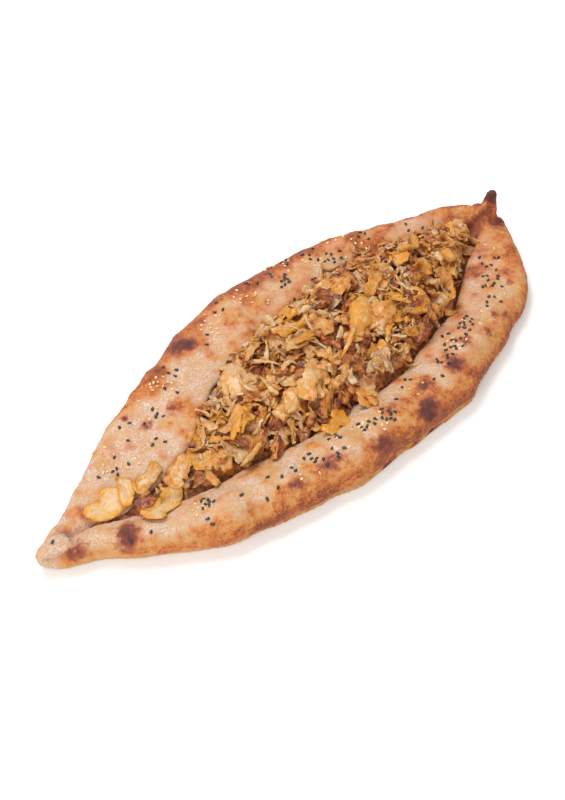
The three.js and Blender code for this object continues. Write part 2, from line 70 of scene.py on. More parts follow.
# Seen from above, (x, y): each rim's outer edge and its lip. Then (x, z) along its crest and its lip.
OUTER_LEFT = [(-208, 8), (-193, 14.5), (-178, 21), (-138, 43), (-90, 64), (-40, 81), (12, 88), (61, 84),
              (100, 75), (140, 60), (171, 44), (190, 27), (208, 14)]
OUTER_RIGHT = [(-208, -1), (-197, -8.5), (-188, -14), (-176, -22), (-154, -41), (-113, -64), (-64, -79),
               (0, -87), (50, -88), (96, -81), (130, -70), (161, -56), (183, -37), (194, -21), (200, -10),
               (208, 1)]
LIP_LEFT = [(-208, 5), (-186, 3.4), (-175, 2.6), (-161, -2), (-147, -6), (-131, -6), (-114, -2), (-84, 8),
            (-59, 23), (-37, 33), (-13, 39), (20, 43), (60, 45), (100, 42), (140, 33), (165, 23),
            (190, 11), (208, 8)]
LIP_RIGHT = [(-208, 3), (-186, 2), (-175, 1.2), (-163, -4.5), (-150, -11.5), (-134, -19), (-114, -27),
             (-86, -32), (-57, -39), (-27, -44), (4, -46), (36, -48), (62, -44), (90, -37), (117, -30),
             (147, -13), (166, -3), (190, 7), (208, 7)]
CREST_LEFT = [(-208, 13), (-178, 12), (-138, 13), (-90, 14), (10, 17), (100, 17), (140, 18), (171, 21),
              (190, 24), (208, 23)]
CREST_RIGHT = [(-208, 12), (-178, 17), (-154, 20), (-88, 22), (0, 23), (96, 21), (161, 19), (208, 18)]
LIP_HEIGHT_LEFT = [(-208, 12), (-138, 12), (-60, 14), (60, 15), (171, 16), (208, 17)]
LIP_HEIGHT_RIGHT = [(-208, 12), (-170, 13), (-88, 15), (20, 16), (120, 15), (171, 16), (208, 17)]
SAUCE_TOP = [(-180, 9), (-100, 9.5), (0, 10), (120, 9.5), (178, 11)]
HEAP_TOP = [(-114, 11), (-100, 16), (-72, 22), (-30, 27), (20, 30), (70, 30), (112, 28), (145, 23),
            (165, 17), (178, 12)]
# Slow waves of the hand-shaped dough: (height, wavelength, phase).
CREST_WAVES_LEFT = [(0.9, 88, 0.4), (0.6, 37, 2.1), (0.35, 19, 0.9)]
CREST_WAVES_RIGHT = [(1.1, 96, 1.8), (0.7, 41, 0.2), (0.4, 21, 2.6)]
EDGE_WAVES_LEFT = [(1.1, 103, 2.2), (0.6, 43, 0.5), (0.3, 24, 1.1)]
EDGE_WAVES_RIGHT = [(1.3, 91, 0.3), (0.8, 47, 1.9), (0.4, 26, 0.7)]
LIP_WAVES = [(1.0, 67, 1.2), (0.7, 29, 0.1)]

# The end that is turned over at the flat tip.
TONGUE = {"centre": (-196.6, 1.6, 10.8), "radii": (12, 7.8, 5.6), "yaw": -0.12}
# The upturned end: (x, y, z, half-length along the rim, half-width).
HORN = [(186, 17, 9, 21, 8.5), (190, 14, 16.5, 14.5, 6.8), (193.5, 11.5, 22.5, 9.5, 5.5),
        (195.2, 10, 28, 6.4, 4.7), (195.8, 9.4, 34, 4.7, 3.5), (196.2, 9.2, 39, 3.5, 2.8),
        (196.5, 9, 42.6, 1.6, 1.4)]
HORN_YAW = 2.36

# ---------- Browning: (x, y, radius, strength, blister height, stretch, direction) ----------
SCORCHES = [(-44, 67, 8, 1, 1.2, 1.7, -0.5), (-69, 61, 4.5, 0.7, 0.8, 1.3, 0.4),
            (-82, 33, 4.5, 0.7, 0.6, 1.2, 0.8), (-102, 34, 4, 0.6, 0.6, 1.3, 0.2),
            (-108, 48, 2.4, 0.8, -0.5, 1.5, 0.5), (-21, 76, 4.5, 0.5, 0.5, 1.6, 0.2),
            (38, 78, 5, 0.6, 0.6, 1.6, 0), (57, 76, 4, 0.5, 0.5, 1.5, -0.2),
            (18, 81, 4.5, 0.5, 0.5, 1.8, 0.1), (-4, 84, 4, 0.5, 0.4, 1.6, 0.2),
            (74, 77, 4.5, 0.6, 0.6, 1.6, -0.3), (107, 60, 4.5, 0.7, 0.7, 1.4, -0.4),
            (154, 51, 6, 0.7, 0.6, 1.5, -0.7), (186, 31, 5, 0.7, 0.4, 1.4, -0.8),
            (198, 0, 6, 0.9, 0.6, 1.3, 1.3), (145, -23, 4.5, 0.6, 0.8, 1.6, 0.8),
            (160, -38, 4, 0.5, 0.5, 1.4, 0.9), (155, -44, 3.5, 0.6, 0.5, 1.4, 0.7),
            (123, -58, 4, 0.6, 0.6, 1.4, 0.6), (130, -63, 4, 0.6, 0.5, 1.4, 0.5),
            (107, -65, 4, 0.6, 0.6, 1.3, 0.4), (89, -62, 4.5, 0.6, 0.6, 1.4, 0.3),
            (69, -70, 7.5, 1, 1, 1.2, 0.2), (41, -69, 6.5, 0.8, 0.9, 1.3, 0.2),
            (31, -81, 8.5, 1.1, 1, 1.3, 0.1), (12, -67, 4, 0.5, 0.5, 1.4, 0.1),
            (-9, -81, 7.5, 0.8, 0.7, 1.5, -0.1), (-44, -70, 6.5, 0.6, 0.6, 2.2, -0.2),
            (-70, -67, 5, 0.7, 0.8, 1.4, -0.3), (-162, -23, 9.5, 0.9, 0.5, 1.25, 0.9),
            (-189, -10, 7.5, 0.6, 0.3, 1.2, 0.5), (-172, 10, 4, 0.3, 0.4, 1.3, 0.4),
            (-119, 26, 3, 0.3, 0.3, 1.4, 0.3), (-100, -60, 4, 0.3, 0.5, 1.6, -0.4),
            (10, 66, 3.5, 0.35, 0.4, 1.4, 0.3), (128, 51, 3.5, 0.4, 0.4, 1.5, -0.5)]
# Soft puffs of the dough that stay pale: (x, y, radius, height).
PUFFS = [(-120, 34, 15, 1), (-60, 45, 17, 1.2), (0, 64, 16, 1.1), (60, 62, 15, 1), (110, 58, 13, 1),
         (-140, -36, 12, 0.8), (-100, -50, 14, 1.3), (-30, -62, 15, 1.2), (55, -66, 14, 1.3),
         (105, -56, 13, 1.3), (150, -30, 13, 1.2), (170, -15, 11, 0.9), (-170, 14, 10, 0.7),
         (165, 37, 12, 0.8)]

# The seam round the turned-over end at the flat tip, that end's crest, and the folds that run into both tips.
TONGUE_SEAM = [(-208, 6.5), (-202, 9.5), (-196, 10.4), (-189.5, 9.3), (-185.4, 5), (-185, 0), (-187, -5),
               (-192, -8), (-199, -6), (-205, -2.5)]
TONGUE_CREST = [(-204, 4), (-189, 3)]
FOLDS = [[(172, 15), (181, 12), (189, 9), (193, 6), (195, 1)], [(190, 26), (193, 20), (193, 15), (192, 11)],
         [(-185, 2.7), (-178, 2.1), (-173, 1), (-167, -1.4), (-161, -4.6)]]

# ---------- Seeds: (x, y, how many, spread) ----------
BLACK_SEEDS = [(-71, 52, 6, 9), (-87, 38, 4, 5), (-110, 38, 4, 7), (-101, 22, 3, 6), (-130, 24, 2, 4),
    (-142, 19, 4, 6), (-30, 62, 2, 6), (-5, 76, 3, 4), (44, 67, 9, 6), (45, 52, 2, 7), (79, 66, 4, 5),
    (84, 55, 9, 7), (113, 50, 5, 8), (148, 38, 3, 5), (161, -24, 7, 7), (146, -36, 10, 6),
    (132, -48, 5, 5), (110, -48, 3, 4), (101, -53, 8, 4), (85, -54, 11, 7), (70, -60, 8, 5),
    (54, -71, 2, 4), (42, -59, 2, 4), (27, -61, 2, 5), (6, -69, 10, 4), (-7, -65, 7, 4), (-26, -58, 4, 5),
    (-38, -68, 6, 6), (-54, -58, 7, 6), (-80, -57, 3, 6), (-91, -55, 2, 6), (-117, -40, 8, 4),
    (-126, -46, 2, 8), (-155, -30, 2, 6), (-197, 3, 1, 1), (64, 75, 4, 7), (24, 70, 3, 9)]
WHITE_SEEDS = [(-77, 47, 9, 5), (-76, 54, 5, 4), (-16, 73, 10, 7), (-20, 60, 4, 6), (53, 74, 9, 8),
    (13, 70, 7, 6), (-136, 34, 4, 6), (-130, 20, 6, 6), (-141, 26, 4, 4), (-121, -39, 9, 4),
    (84, -58, 9, 6), (-3, -68, 9, 6), (-12, -63, 5, 4), (-28, -68, 4, 6), (34, -69, 3, 6), (98, 67, 4, 7),
    (170, -18, 3, 7), (100, 50, 5, 8), (70, 58, 6, 8), (-60, -62, 4, 8), (140, -40, 4, 8),
    (-90, 45, 4, 8), (30, 62, 4, 8), (112, -52, 4, 7)]
# Each kind's length, width and height, and the least distance between two seeds.
BLACK_SEED, WHITE_SEED = (2.9, 1.9, 1.3), (2.4, 1.6, 0.9)
SEED_SPACING = 2.3


# ---------- Small helpers ----------
def mix(a, b, share):
    return a + (b - a) * share


def smooth(low, high, value):
    t = np.clip((value - low) / (high - low), 0, 1)
    return t * t * (3 - 2 * t)


def waves(parts, x):
    return sum(height * np.sin(TAU * x / length + phase) for height, length, phase in parts)


def along(points, x):
    """A curve through (x, value) points, read at x: a cubic with the slope of each point's two neighbours."""
    knots, values = np.array(points, float).T
    x = np.clip(x, knots[0], knots[-1])
    slopes = np.empty(len(knots))
    slopes[1:-1] = (values[2:] - values[:-2]) / (knots[2:] - knots[:-2])
    slopes[0] = (values[1] - values[0]) / (knots[1] - knots[0])
    slopes[-1] = (values[-1] - values[-2]) / (knots[-1] - knots[-2])
    i = np.clip(np.searchsorted(knots, x, side="right") - 1, 0, len(knots) - 2)
    span = knots[i + 1] - knots[i]
    t = (x - knots[i]) / span
    return ((2 * t**3 - 3 * t**2 + 1) * values[i] + (t**3 - 2 * t**2 + t) * span * slopes[i]
            + (3 * t**2 - 2 * t**3) * values[i + 1] + (t**3 - t**2) * span * slopes[i + 1])


def field(points, size, octaves=3):
    """Smooth noise from about -1 to 1 at each point, with features of the given size."""
    scaled = np.asarray(points, float) / size
    return np.array([noise.fractal(Vector(p), 1.0, 2.0, octaves) for p in scaled])


def rotation(yaw=0.0, pitch=0.0, roll=0.0):
    """Turns about Z by yaw, after Y by pitch, after X by roll."""
    (cy, sy), (cp, sp), (cr, sr) = [(math.cos(a), math.sin(a)) for a in (yaw, pitch, roll)]
    about_z = np.array([[cy, -sy, 0], [sy, cy, 0], [0, 0, 1]])
    about_y = np.array([[cp, 0, sp], [0, 1, 0], [-sp, 0, cp]])
    about_x = np.array([[1, 0, 0], [0, cr, -sr], [0, sr, cr]])
    return about_z @ about_y @ about_x


def set_attributes(mesh, attributes):
    """Gives the mesh's points a number, or a vector, for each entry."""
    for key, values in attributes.items():
        values = np.asarray(values, np.float32)
        is_vector = values.ndim == 2
        layer = mesh.attributes.new(key, "FLOAT_VECTOR" if is_vector else "FLOAT", "POINT")
        layer.data.foreach_set("vector" if is_vector else "value", values.ravel())


def linked(name, data):
    obj = bpy.data.objects.new(name, data)
    bpy.context.scene.collection.objects.link(obj)
    return obj


def mesh_object(name, points, faces, attributes=None):
    """A smooth object from points in millimetres."""
    mesh = bpy.data.meshes.new(name)
    mesh.from_pydata((np.asarray(points) * MM).tolist(), [], [list(map(int, face)) for face in faces])
    set_attributes(mesh, attributes or {})
    mesh.update()
    mesh.shade_smooth()
    return linked(name, mesh)


def dress(obj, material, slot, *nodes):
    """Gives a piece its material, makes it ride on the root and hides the CAD parts that it stands for; slot
    is not used.
    """
    obj.data.materials.clear()
    obj.data.materials.append(material)
    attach(obj, "root")
    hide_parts(*nodes)


def joined(parts):
    """Points and faces of several meshes as one."""
    points, faces, start = [], [], 0
    for part_points, part_faces in parts:
        points.append(part_points)
        faces += [[start + k for k in face] for face in part_faces]
        start += len(part_points)
    return np.concatenate(points), faces


def ball_grid(rings, around, cap):
    """Rings of points on a ball of radius 1 about the X axis, open by the angle cap at both ends."""
    tilt = np.linspace(cap, math.pi - cap, rings)[:, None]
    turn = np.linspace(0, TAU, around, endpoint=False)
    y, z = np.sin(tilt) * np.cos(turn), np.sin(tilt) * np.sin(turn)
    return np.stack(np.broadcast_arrays(np.cos(tilt), y, z), -1)


def loft_arrays(loops):
    """Points and faces of a surface through a row of closed loops, capped at both ends."""
    count, size, _ = loops.shape
    points = loops.reshape(-1, 3)
    i, j = np.meshgrid(np.arange(count - 1), np.arange(size), indexing="ij")
    a, b = i * size + j, i * size + (j + 1) % size
    faces = np.stack([a, a + size, b + size, b], -1).reshape(-1, 4).tolist()
    faces.append(list(range(size)))
    faces.append(list(range((count - 1) * size, count * size))[::-1])
    return points, faces


def shell_arrays(top, bottom):
    """A closed plate between two grids of points of the same shape."""
    rows, columns, _ = top.shape
    points = np.concatenate([top.reshape(-1, 3), bottom.reshape(-1, 3)])
    under = rows * columns
    i, j = np.meshgrid(np.arange(rows - 1), np.arange(columns - 1), indexing="ij")
    a = (i * columns + j).ravel()
    b, c, d = a + 1, a + columns, a + columns + 1
    faces = [np.stack([a, c, d, b], -1), np.stack([a, b, d, c], -1) + under]
    rim = np.array([*range(0, under, columns), *range(under - columns + 1, under),
                    *range(under - columns - 1, 0, -columns), *range(columns - 2, 0, -1)])
    after = np.roll(rim, -1)
    faces.append(np.stack([after, rim, rim + under, after + under], -1))
    return points, np.concatenate(faces)


# ---------- The boat's form ----------
def openness(x):
    """1 where the well is open, falling to 0 where the rims close over it at both tips."""
    return smooth(*SLIT_STARTS, x) * (1 - smooth(*SLIT_ENDS, x))


def end_rounding(x):
    """How far the loaf's sections shrink towards its tips, from 1 to nearly 0."""
    past = np.maximum(np.abs(x) - (HALF_LENGTH - TIP_ROUNDING), 0) / TIP_ROUNDING
    return np.sqrt(np.maximum(1 - past**2, 0.012))


def lips(x):
    """The y of the left and right lip, held apart by at least the smallest slit."""
    wave = waves(LIP_WAVES, x) * openness(x)
    left = along(LIP_LEFT, x) + wave
    right = along(LIP_RIGHT, x) + 0.6 * wave
    short = np.maximum(SMALLEST_SLIT - (left - right), 0) / 2
    return left + short, right - short


def outer_edge(x, is_left):
    if is_left:
        return along(OUTER_LEFT, x) + waves(EDGE_WAVES_LEFT, x)
    return along(OUTER_RIGHT, x) + waves(EDGE_WAVES_RIGHT, x)


def rim_outline(x, is_left):
    """One rim's outline as [y, z] at each x, from under the dough, round its edge and over to the well."""
    side = 1 if is_left else -1
    left, right = lips(x)
    lip = left if is_left else right
    outer = outer_edge(x, is_left)
    crest = (along(CREST_LEFT, x) + waves(CREST_WAVES_LEFT, x) if is_left
             else along(CREST_RIGHT, x) + waves(CREST_WAVES_RIGHT, x))
    lip_height = along(LIP_HEIGHT_LEFT if is_left else LIP_HEIGHT_RIGHT, x)
    opened = openness(x)
    width = np.maximum(np.abs(outer - lip), 3)
    curve = np.minimum(0.52 * crest, 0.3 * width)
    floor = mix(lip_height - 1.6, FLOOR_THICKNESS, opened)
    reach = np.minimum(4, 0.15 * (left - right))
    zero = np.zeros_like(x)
    corners = [
        (1.1 * curve, zero), (0.3 * curve, 0.12 * crest), (zero, 0.44 * crest), (0.24 * curve, 0.76 * crest),
        (0.9 * curve, 0.97 * crest), (1.6 * curve, crest),
        (mix(1.6 * curve, width, 0.5), mix(crest, lip_height, 0.45)),
        (width - 3.2, lip_height + 0.3), (width - 1.0, lip_height - 0.3), (width, lip_height - 1.6),
        (width - 1.2 * opened, mix(lip_height - 4.2, floor, 1 - opened)),
        (width - 0.4 * opened + 0.3, floor + 0.6), (width + reach, floor)]
    return np.stack([np.stack([outer - side * inward, z], -1) for inward, z in corners], 1)


def dough_loops(x, per_side=9):
    """The loaf's closed sections at each x, as points, rounded through the outlines' corners."""
    loop = np.concatenate([rim_outline(x, False), rim_outline(x, True)[:, ::-1]], 1)
    middle = np.stack([(along(OUTER_LEFT, x) + along(OUTER_RIGHT, x)) / 2, 0.42 * loop[:, :, 1].max(1)], -1)
    loop = mix(middle[:, None], loop, end_rounding(x)[:, None, None])
    before, after, beyond = np.roll(loop, 1, 1), np.roll(loop, -1, 1), np.roll(loop, -2, 1)
    slant, bow = 2 * before - 5 * loop + 4 * after - beyond, 3 * loop - before - 3 * after + beyond
    rounded = [0.5 * (2 * loop + (after - before) * t + slant * t**2 + bow * t**3)
               for t in np.arange(per_side) / per_side]
    fine = np.stack(rounded, 2).reshape(len(x), -1, 2)
    fine[:, :, 1] = np.maximum(fine[:, :, 1], 0)
    return np.concatenate([np.broadcast_to(x[:, None, None], (*fine.shape[:2], 1)), fine], -1)


def horn_loops():
    """The pinched end: rings that lean with it, folded where the two rims meet."""
    heights = np.array([ring[2] for ring in HORN], float)
    z = np.linspace(heights[0], heights[-1], 46)
    x, y, long, wide = [along([(ring[2], ring[k]) for ring in HORN], z) for k in (0, 1, 3, 4)]
    turn = np.linspace(0, TAU, 40, endpoint=False)
    fold = 1.0
    for depth, at, broad, low, high in ((0.26, 4.1, 0.28, 14, 24), (0.14, 1.2, 0.3, 16, 26)):
        fold = fold - depth * np.exp(-((turn[None] - at) / broad) ** 2) * smooth(low, high, z)[:, None]
    a, b = long[:, None] * np.cos(turn) * fold, wide[:, None] * np.sin(turn) * fold
    c, s = math.cos(HORN_YAW), math.sin(HORN_YAW)
    return np.stack([x[:, None] + a * c - b * s, y[:, None] + a * s + b * c,
                     np.broadcast_to(z[:, None], a.shape)], -1)[:, ::-1]


def tongue_arrays():
    """The end that is turned over at the flat tip: a flattened ball."""
    ring = ball_grid(26, 36, 0.03) * np.array(TONGUE["radii"])
    ring = ring @ rotation(TONGUE["yaw"]).T + np.array(TONGUE["centre"])
    return loft_arrays(ring[:, ::-1])


# The side of the loaf's cells: fine enough for its blisters, in under 200,000 triangles.
VOXEL = 1.22


def remeshed(name, parts):
    """One even mesh round several closed ones that run into each other."""
    rough = mesh_object(name + "_rough", *joined(parts))
    remesh = rough.modifiers.new("even", "REMESH")
    remesh.mode = "VOXEL"
    remesh.voxel_size = VOXEL * MM
    remesh.use_smooth_shade = True
    soften = rough.modifiers.new("soften", "SMOOTH")
    soften.factor = 0.5
    soften.iterations = 5
    bpy.context.view_layer.update()
    mesh = bpy.data.meshes.new_from_object(rough.evaluated_get(bpy.context.evaluated_depsgraph_get()))
    bpy.data.objects.remove(rough)
    mesh.name = name
    return linked(name, mesh)


def vectors_of(mesh, key):
    flat = np.empty(len(mesh.vertices) * 3)
    mesh.vertices.foreach_get(key, flat)
    return flat.reshape(-1, 3)


def points_of(mesh):
    return vectors_of(mesh, "co") / MM


def spot(points, x, y, radius, stretch=1.0, direction=0.0):
    """Distance from a spot's middle, in its radii, longer along its direction."""
    dx, dy = points[:, 0] - x, points[:, 1] - y
    c, s = math.cos(direction), math.sin(direction)
    return np.hypot((dx * c + dy * s) / (radius * stretch), (dy * c - dx * s) / radius)


def line_distance(points, line):
    """How far each point is, seen from above, from a line through the given corners."""
    flat, nearest = points[:, :2], np.full(len(points), 1e9)
    for a, b in zip(np.array(line[:-1], float), np.array(line[1:], float)):
        span = b - a
        share = np.clip((flat - a) @ span / (span @ span), 0, 1)
        nearest = np.minimum(nearest, np.hypot(*(flat - a - share[:, None] * span).T))
    return nearest


def rim_share(points):
    """Each point's place across its rim, 0 at the outer edge and 1 at the lip; and whether it is the left."""
    x, y = points[:, 0], points[:, 1]
    left, right = lips(x)
    is_left = y > (left + right) / 2
    share_left = (outer_edge(x, True) - y) / np.maximum(outer_edge(x, True) - left, 3)
    share_right = (y - outer_edge(x, False)) / np.maximum(right - outer_edge(x, False), 3)
    return np.where(is_left, share_left, share_right), is_left


class Crust:
    """The loaf's relief, its baked colour and its painted crease shade, worked out at each point of its mesh.
    """

    def __init__(self, mesh):
        self.mesh = mesh
        self.points, self.normals = points_of(mesh), vectors_of(mesh, "normal")
        self.upward = smooth(-0.1, 0.5, self.normals[:, 2])
        self.share, self.is_left = rim_share(self.points)
        self.slow, self.mid = field(self.points, 26, 2), field(self.points + 50, 9, 3)
        self.fine = field(self.points + 90, 3.2, 3)
        tongue = spot(self.points, *TONGUE["centre"][:2], TONGUE["radii"][1], 1.5, TONGUE["yaw"])
        self.turned = 1 - smooth(0.75, 1.05, tongue)
        self.rise = (0.9 * self.slow * self.upward + 0.6 * self.mid * (0.3 + 0.7 * self.upward)
                     + 0.24 * self.fine + 0.14 * field(self.points + 130, 1.6, 2))
        self.char, self.halo = np.zeros(len(self.points)), np.zeros(len(self.points))

    def raise_puffs(self):
        for x, y, radius, height in PUFFS:
            self.rise += 1.4 * height * np.exp(-1.3 * spot(self.points, x, y, radius) ** 2) * self.upward

    def raise_blisters(self):
        """Raises the crust under each scorch, charred in its middle and browned in a halo round it."""
        warped = self.points + np.stack([self.mid, self.fine, 0 * self.mid], -1) * 3.0
        for x, y, radius, strength, blister, stretch, direction in SCORCHES:
            away = spot(warped, x, y, radius, stretch, direction)
            self.rise += blister * np.exp(-1.1 * away**2) * self.upward
            self.char = np.maximum(self.char, strength * (1 - smooth(0.1, 1.3, away)))
            self.halo = np.maximum(self.halo, min(strength, 0.8) * (1 - smooth(0.7, 2.1, away)))
        on_top = smooth(0.0, 0.3, self.normals[:, 2])
        self.char, self.halo = self.char * on_top, self.halo * on_top

    def press_folds(self):
        """Presses in the seam of the turned-over end and the folds, and crumples that end."""
        self.seam = np.exp(-((line_distance(self.points, TONGUE_SEAM) / 1.3) ** 2)) * self.upward
        self.rise -= 2.2 * self.seam
        self.rise += 1.1 * np.exp(-((line_distance(self.points, TONGUE_CREST) / 5.5) ** 4)) * self.upward
        self.rise += self.turned * self.upward * (1.1 * field(self.points + 17, 5, 2) + 0.5 * self.fine)
        for fold in FOLDS:
            line = np.exp(-((line_distance(self.points, fold) / 1.4) ** 2)) * self.upward
            self.rise -= 2.6 * line
            self.seam = np.maximum(self.seam, line)

    def reshape(self):
        """Moves the points by the relief, which dies out at the underside, and keeps them in the CAD box."""
        self.rise *= smooth(0.0, 2.5, self.points[:, 2])
        moved = self.points + self.normals * self.rise[:, None]
        self.points = np.clip(moved, np.array(cad_box[0]) / MM, np.array(cad_box[1]) / MM)
        self.mesh.vertices.foreach_set("co", (self.points * MM).ravel())
        self.mesh.update()

    def horn_char(self):
        """The upturned tip is burnt from 30 to 36 mm up."""
        return 0.92 * smooth(30, 36, self.points[:, 2] + 3 * self.mid + 1.5 * self.fine)

    def browning_and_shade(self):
        """Browner at the outer edges, on the far half and round the scorches, and least so on the near flap;
        painted shade darkens the seam and fold creases and one side of the horn.
        """
        x, y, z = self.points.T
        above_base, near = smooth(1, 7, z), smooth(-80, -140, x)
        inward = smooth(0.5, 0.95, self.share)
        brown_and_shade = np.where(self.is_left, 0.14 + 0.2 * smooth(-50, 40, x) + 0.04 * inward,
                         0.03 + 0.08 * smooth(-20, 10, x) + 0.12 * smooth(40, 110, x)
                         + inward * (0.04 + 0.26 * smooth(60, 120, x)))
        outer_side = (1 - smooth(0.0, 0.24, self.share)) * above_base
        brown_and_shade += np.where(self.is_left, 0.34, 0.24 * smooth(150, 90, x)) * (1 - near) * outer_side
        crest = np.exp(-((self.share - 0.22) / 0.16) ** 2)
        brown_and_shade += np.where(self.is_left, 0.2 * (1 - 0.8 * near), 0.04) * crest
        edge = (1 - smooth(0.0, 0.1, self.share)) * above_base
        brown_and_shade += np.where(self.is_left, 0.26 * (1 - near), 0.5 - 0.15 * near) * edge
        brown_and_shade += 0.4 * self.halo + 0.34 * self.slow + 0.36 * self.mid + 0.12 * self.fine
        brown_and_shade += 0.15 * smooth(165, 180, x)
        brown_and_shade += 0.3 * smooth(0.9, 1.0, self.share) * (0.6 + 0.6 * self.mid) * smooth(-175, -150, x)
        # Painted shade: the seam and fold lines are darkened as creases in shadow, and the horn is darker on
        # its side that faces +X and +Y, past its fold, and lighter on the other.
        horn = smooth(17, 24, z) * (x > 178) * (y > -6)
        horn_shaded_side = smooth(-0.35, 0.3, 0.72 * self.normals[:, 0] + 0.5 * self.normals[:, 1])
        brown_and_shade += 0.5 * self.seam + horn * (0.7 * horn_shaded_side - 0.16 + 0.2 * self.mid)
        return brown_and_shade - 0.15 * self.turned

    def flour(self):
        """Flour in patches away from the outer edges, most on the near flap, and on the underside."""
        x, _, z = self.points.T
        near = smooth(-80, -140, x)
        bare = 1 - near * np.where(self.is_left, 1, 0.35)
        flour = smooth(-0.1 + 0.2 * bare, 0.1 + 0.3 * bare, self.share)
        flour *= (0.58 - 1.1 * self.slow - 1.0 * self.mid - 0.35 * self.halo
                  + np.where(self.is_left, 0.5, 0.15) * near)
        flour *= np.where(self.is_left, 1 - 0.5 * smooth(-50, 40, x), 1 - 0.35 * smooth(40, 130, x))
        flour *= 1 - 0.8 * smooth(165, 180, x)
        flour += self.turned * (0.6 - 0.8 * self.fine) * self.upward
        outer_side = (1 - smooth(0.0, 0.24, self.share)) * smooth(1, 7, z)
        return flour + 0.4 * smooth(0.2, -0.6, self.normals[:, 2]) * (1 - outer_side)


def make_dough():
    """The loaf as one fine mesh, with its relief, its scorches and its flour."""
    x = HALF_LENGTH * -np.cos(np.linspace(0, math.pi, 330))
    parts = [loft_arrays(dough_loops(x)[:, ::-1]), loft_arrays(horn_loops()), tongue_arrays()]
    loaf = remeshed("dough_loaf", parts)
    crust = Crust(loaf.data)
    crust.raise_puffs()
    crust.raise_blisters()
    crust.press_folds()
    crust.reshape()
    charred = np.maximum(crust.char, crust.horn_char())
    looks = {"char": charred, "brown_and_shade": crust.browning_and_shade(), "flour": crust.flour()}
    set_attributes(loaf.data, {key: np.clip(values, 0, 1) for key, values in looks.items()})
    loaf.data.shade_smooth()
    return loaf


# ---------- What lies under the next piece ----------
class Surface:
    """The height of everything laid so far, on a grid over the boat."""

    STEP = 1.25
    WIDEN = 0.9

    def __init__(self, tree):
        self.x = np.arange(-212, 212, self.STEP)
        self.y = np.arange(-92, 93, self.STEP)
        self.z = np.zeros((len(self.x), len(self.y)))
        for i, x in enumerate(self.x):
            for j, y in enumerate(self.y):
                hit = tree.ray_cast(Vector((x * MM, y * MM, 0.1)), Vector((0, 0, -1)))
                self.z[i, j] = hit[0].z / MM if hit[0] else 0

    def cells(self, x, y):
        i = np.clip(np.rint((np.asarray(x) - self.x[0]) / self.STEP).astype(int), 0, len(self.x) - 1)
        j = np.clip(np.rint((np.asarray(y) - self.y[0]) / self.STEP).astype(int), 0, len(self.y) - 1)
        return i, j

    def at(self, x, y):
        return self.z[self.cells(x, y)]

    def raise_to(self, points):
        """Raises the surface to the points, and a little way round each of them."""
        for dx, dy in ((0, 0), (1, 0), (-1, 0), (0, 1), (0, -1)):
            i, j = self.cells(points[:, 0] + dx * self.WIDEN, points[:, 1] + dy * self.WIDEN)
            np.maximum.at(self.z, (i, j), points[:, 2])

    def slope(self, x, y, reach=6):
        """How steeply it rises along X and along Y."""
        return ((self.at(x + reach, y) - self.at(x - reach, y)) / (2 * reach),
                (self.at(x, y + reach) - self.at(x, y - reach)) / (2 * reach))


# ---------- Shavings ----------
# A slice's bend across its width is never less than this, as its radius is the width over the bend.
FLATTEST_BEND = 0.05


def uneven(rng, count, knots):
    """A smooth random line of count values from -1 to 1, with that many knots."""
    return np.interp(np.linspace(0, knots - 1, count), np.arange(knots), rng.uniform(-1, 1, knots))


def crumpled(rng, rows, columns, knots=(6, 4)):
    """A grid of smooth random heights from -1 to 1, from a coarse grid of knots."""
    coarse = rng.uniform(-1, 1, knots)
    lengthwise = np.stack([np.interp(np.linspace(0, knots[0] - 1, rows), np.arange(knots[0]), column)
                           for column in coarse.T], 1)
    return np.stack([np.interp(np.linspace(0, knots[1] - 1, columns), np.arange(knots[1]), row)
                     for row in lengthwise])


def torn_edge(rng, u, ragged, tears, blunt):
    """One long edge's distance from the middle line, as a share of the half-width, with its tears."""
    end = blunt * np.where(u < 0, rng.uniform(0.1, 1), rng.uniform(0.1, 1))
    body = end + (1 - end) * np.maximum(1 - np.abs(u) ** (2 + 7 * blunt * rng.random()), 0) ** 0.6
    body = body * (1 + ragged * uneven(rng, len(u), 7) + 0.45 * ragged * rng.uniform(-1, 1, len(u)))
    for _ in range(rng.integers(0, tears + 1)):
        body = body * (1 - rng.uniform(0.15, 0.6) * np.exp(-((u - rng.uniform(-0.9, 0.9)) / 0.09) ** 2))
    return body


def curled_line(rng, length, curl, steps):
    """The slice's middle line, turning unevenly through the angle curl: its x, its z and its direction."""
    turning = curl * (1 + 0.6 * uneven(rng, steps + 1, 5))
    angle = np.cumsum(turning) / (steps + 1)
    middle = steps // 2
    angle -= angle[middle]
    x, z = np.cumsum(np.cos(angle)) * length / steps, np.cumsum(np.sin(angle)) * length / steps
    return x - x[middle], z - z[middle], angle


def slice_lift(rng, width, v, across, hollow, limp):
    """How far each point stands off the bent slice: fibres, a fold along it, frilled edges and crumpling."""
    steps, rows = across.shape
    fibres = 0.2 * np.sin(across * rng.uniform(2.2, 3.4) + 3 * uneven(rng, steps, 3)[:, None])
    crease = across - 0.2 * width * rng.uniform(-1, 1) - 0.1 * width * uneven(rng, steps, 3)[:, None]
    fold = -rng.uniform(0, 0.35) * np.sqrt(crease**2 + 0.3)
    frill = np.abs(v) ** 3 * uneven(rng, steps, 9)[:, None] * rng.uniform(0.3, 1.4)
    lift = hollow + fibres + 0.1 * rng.uniform(-1, 1, across.shape)
    return lift + limp * (fold + frill + 0.9 * crumpled(rng, steps, rows))


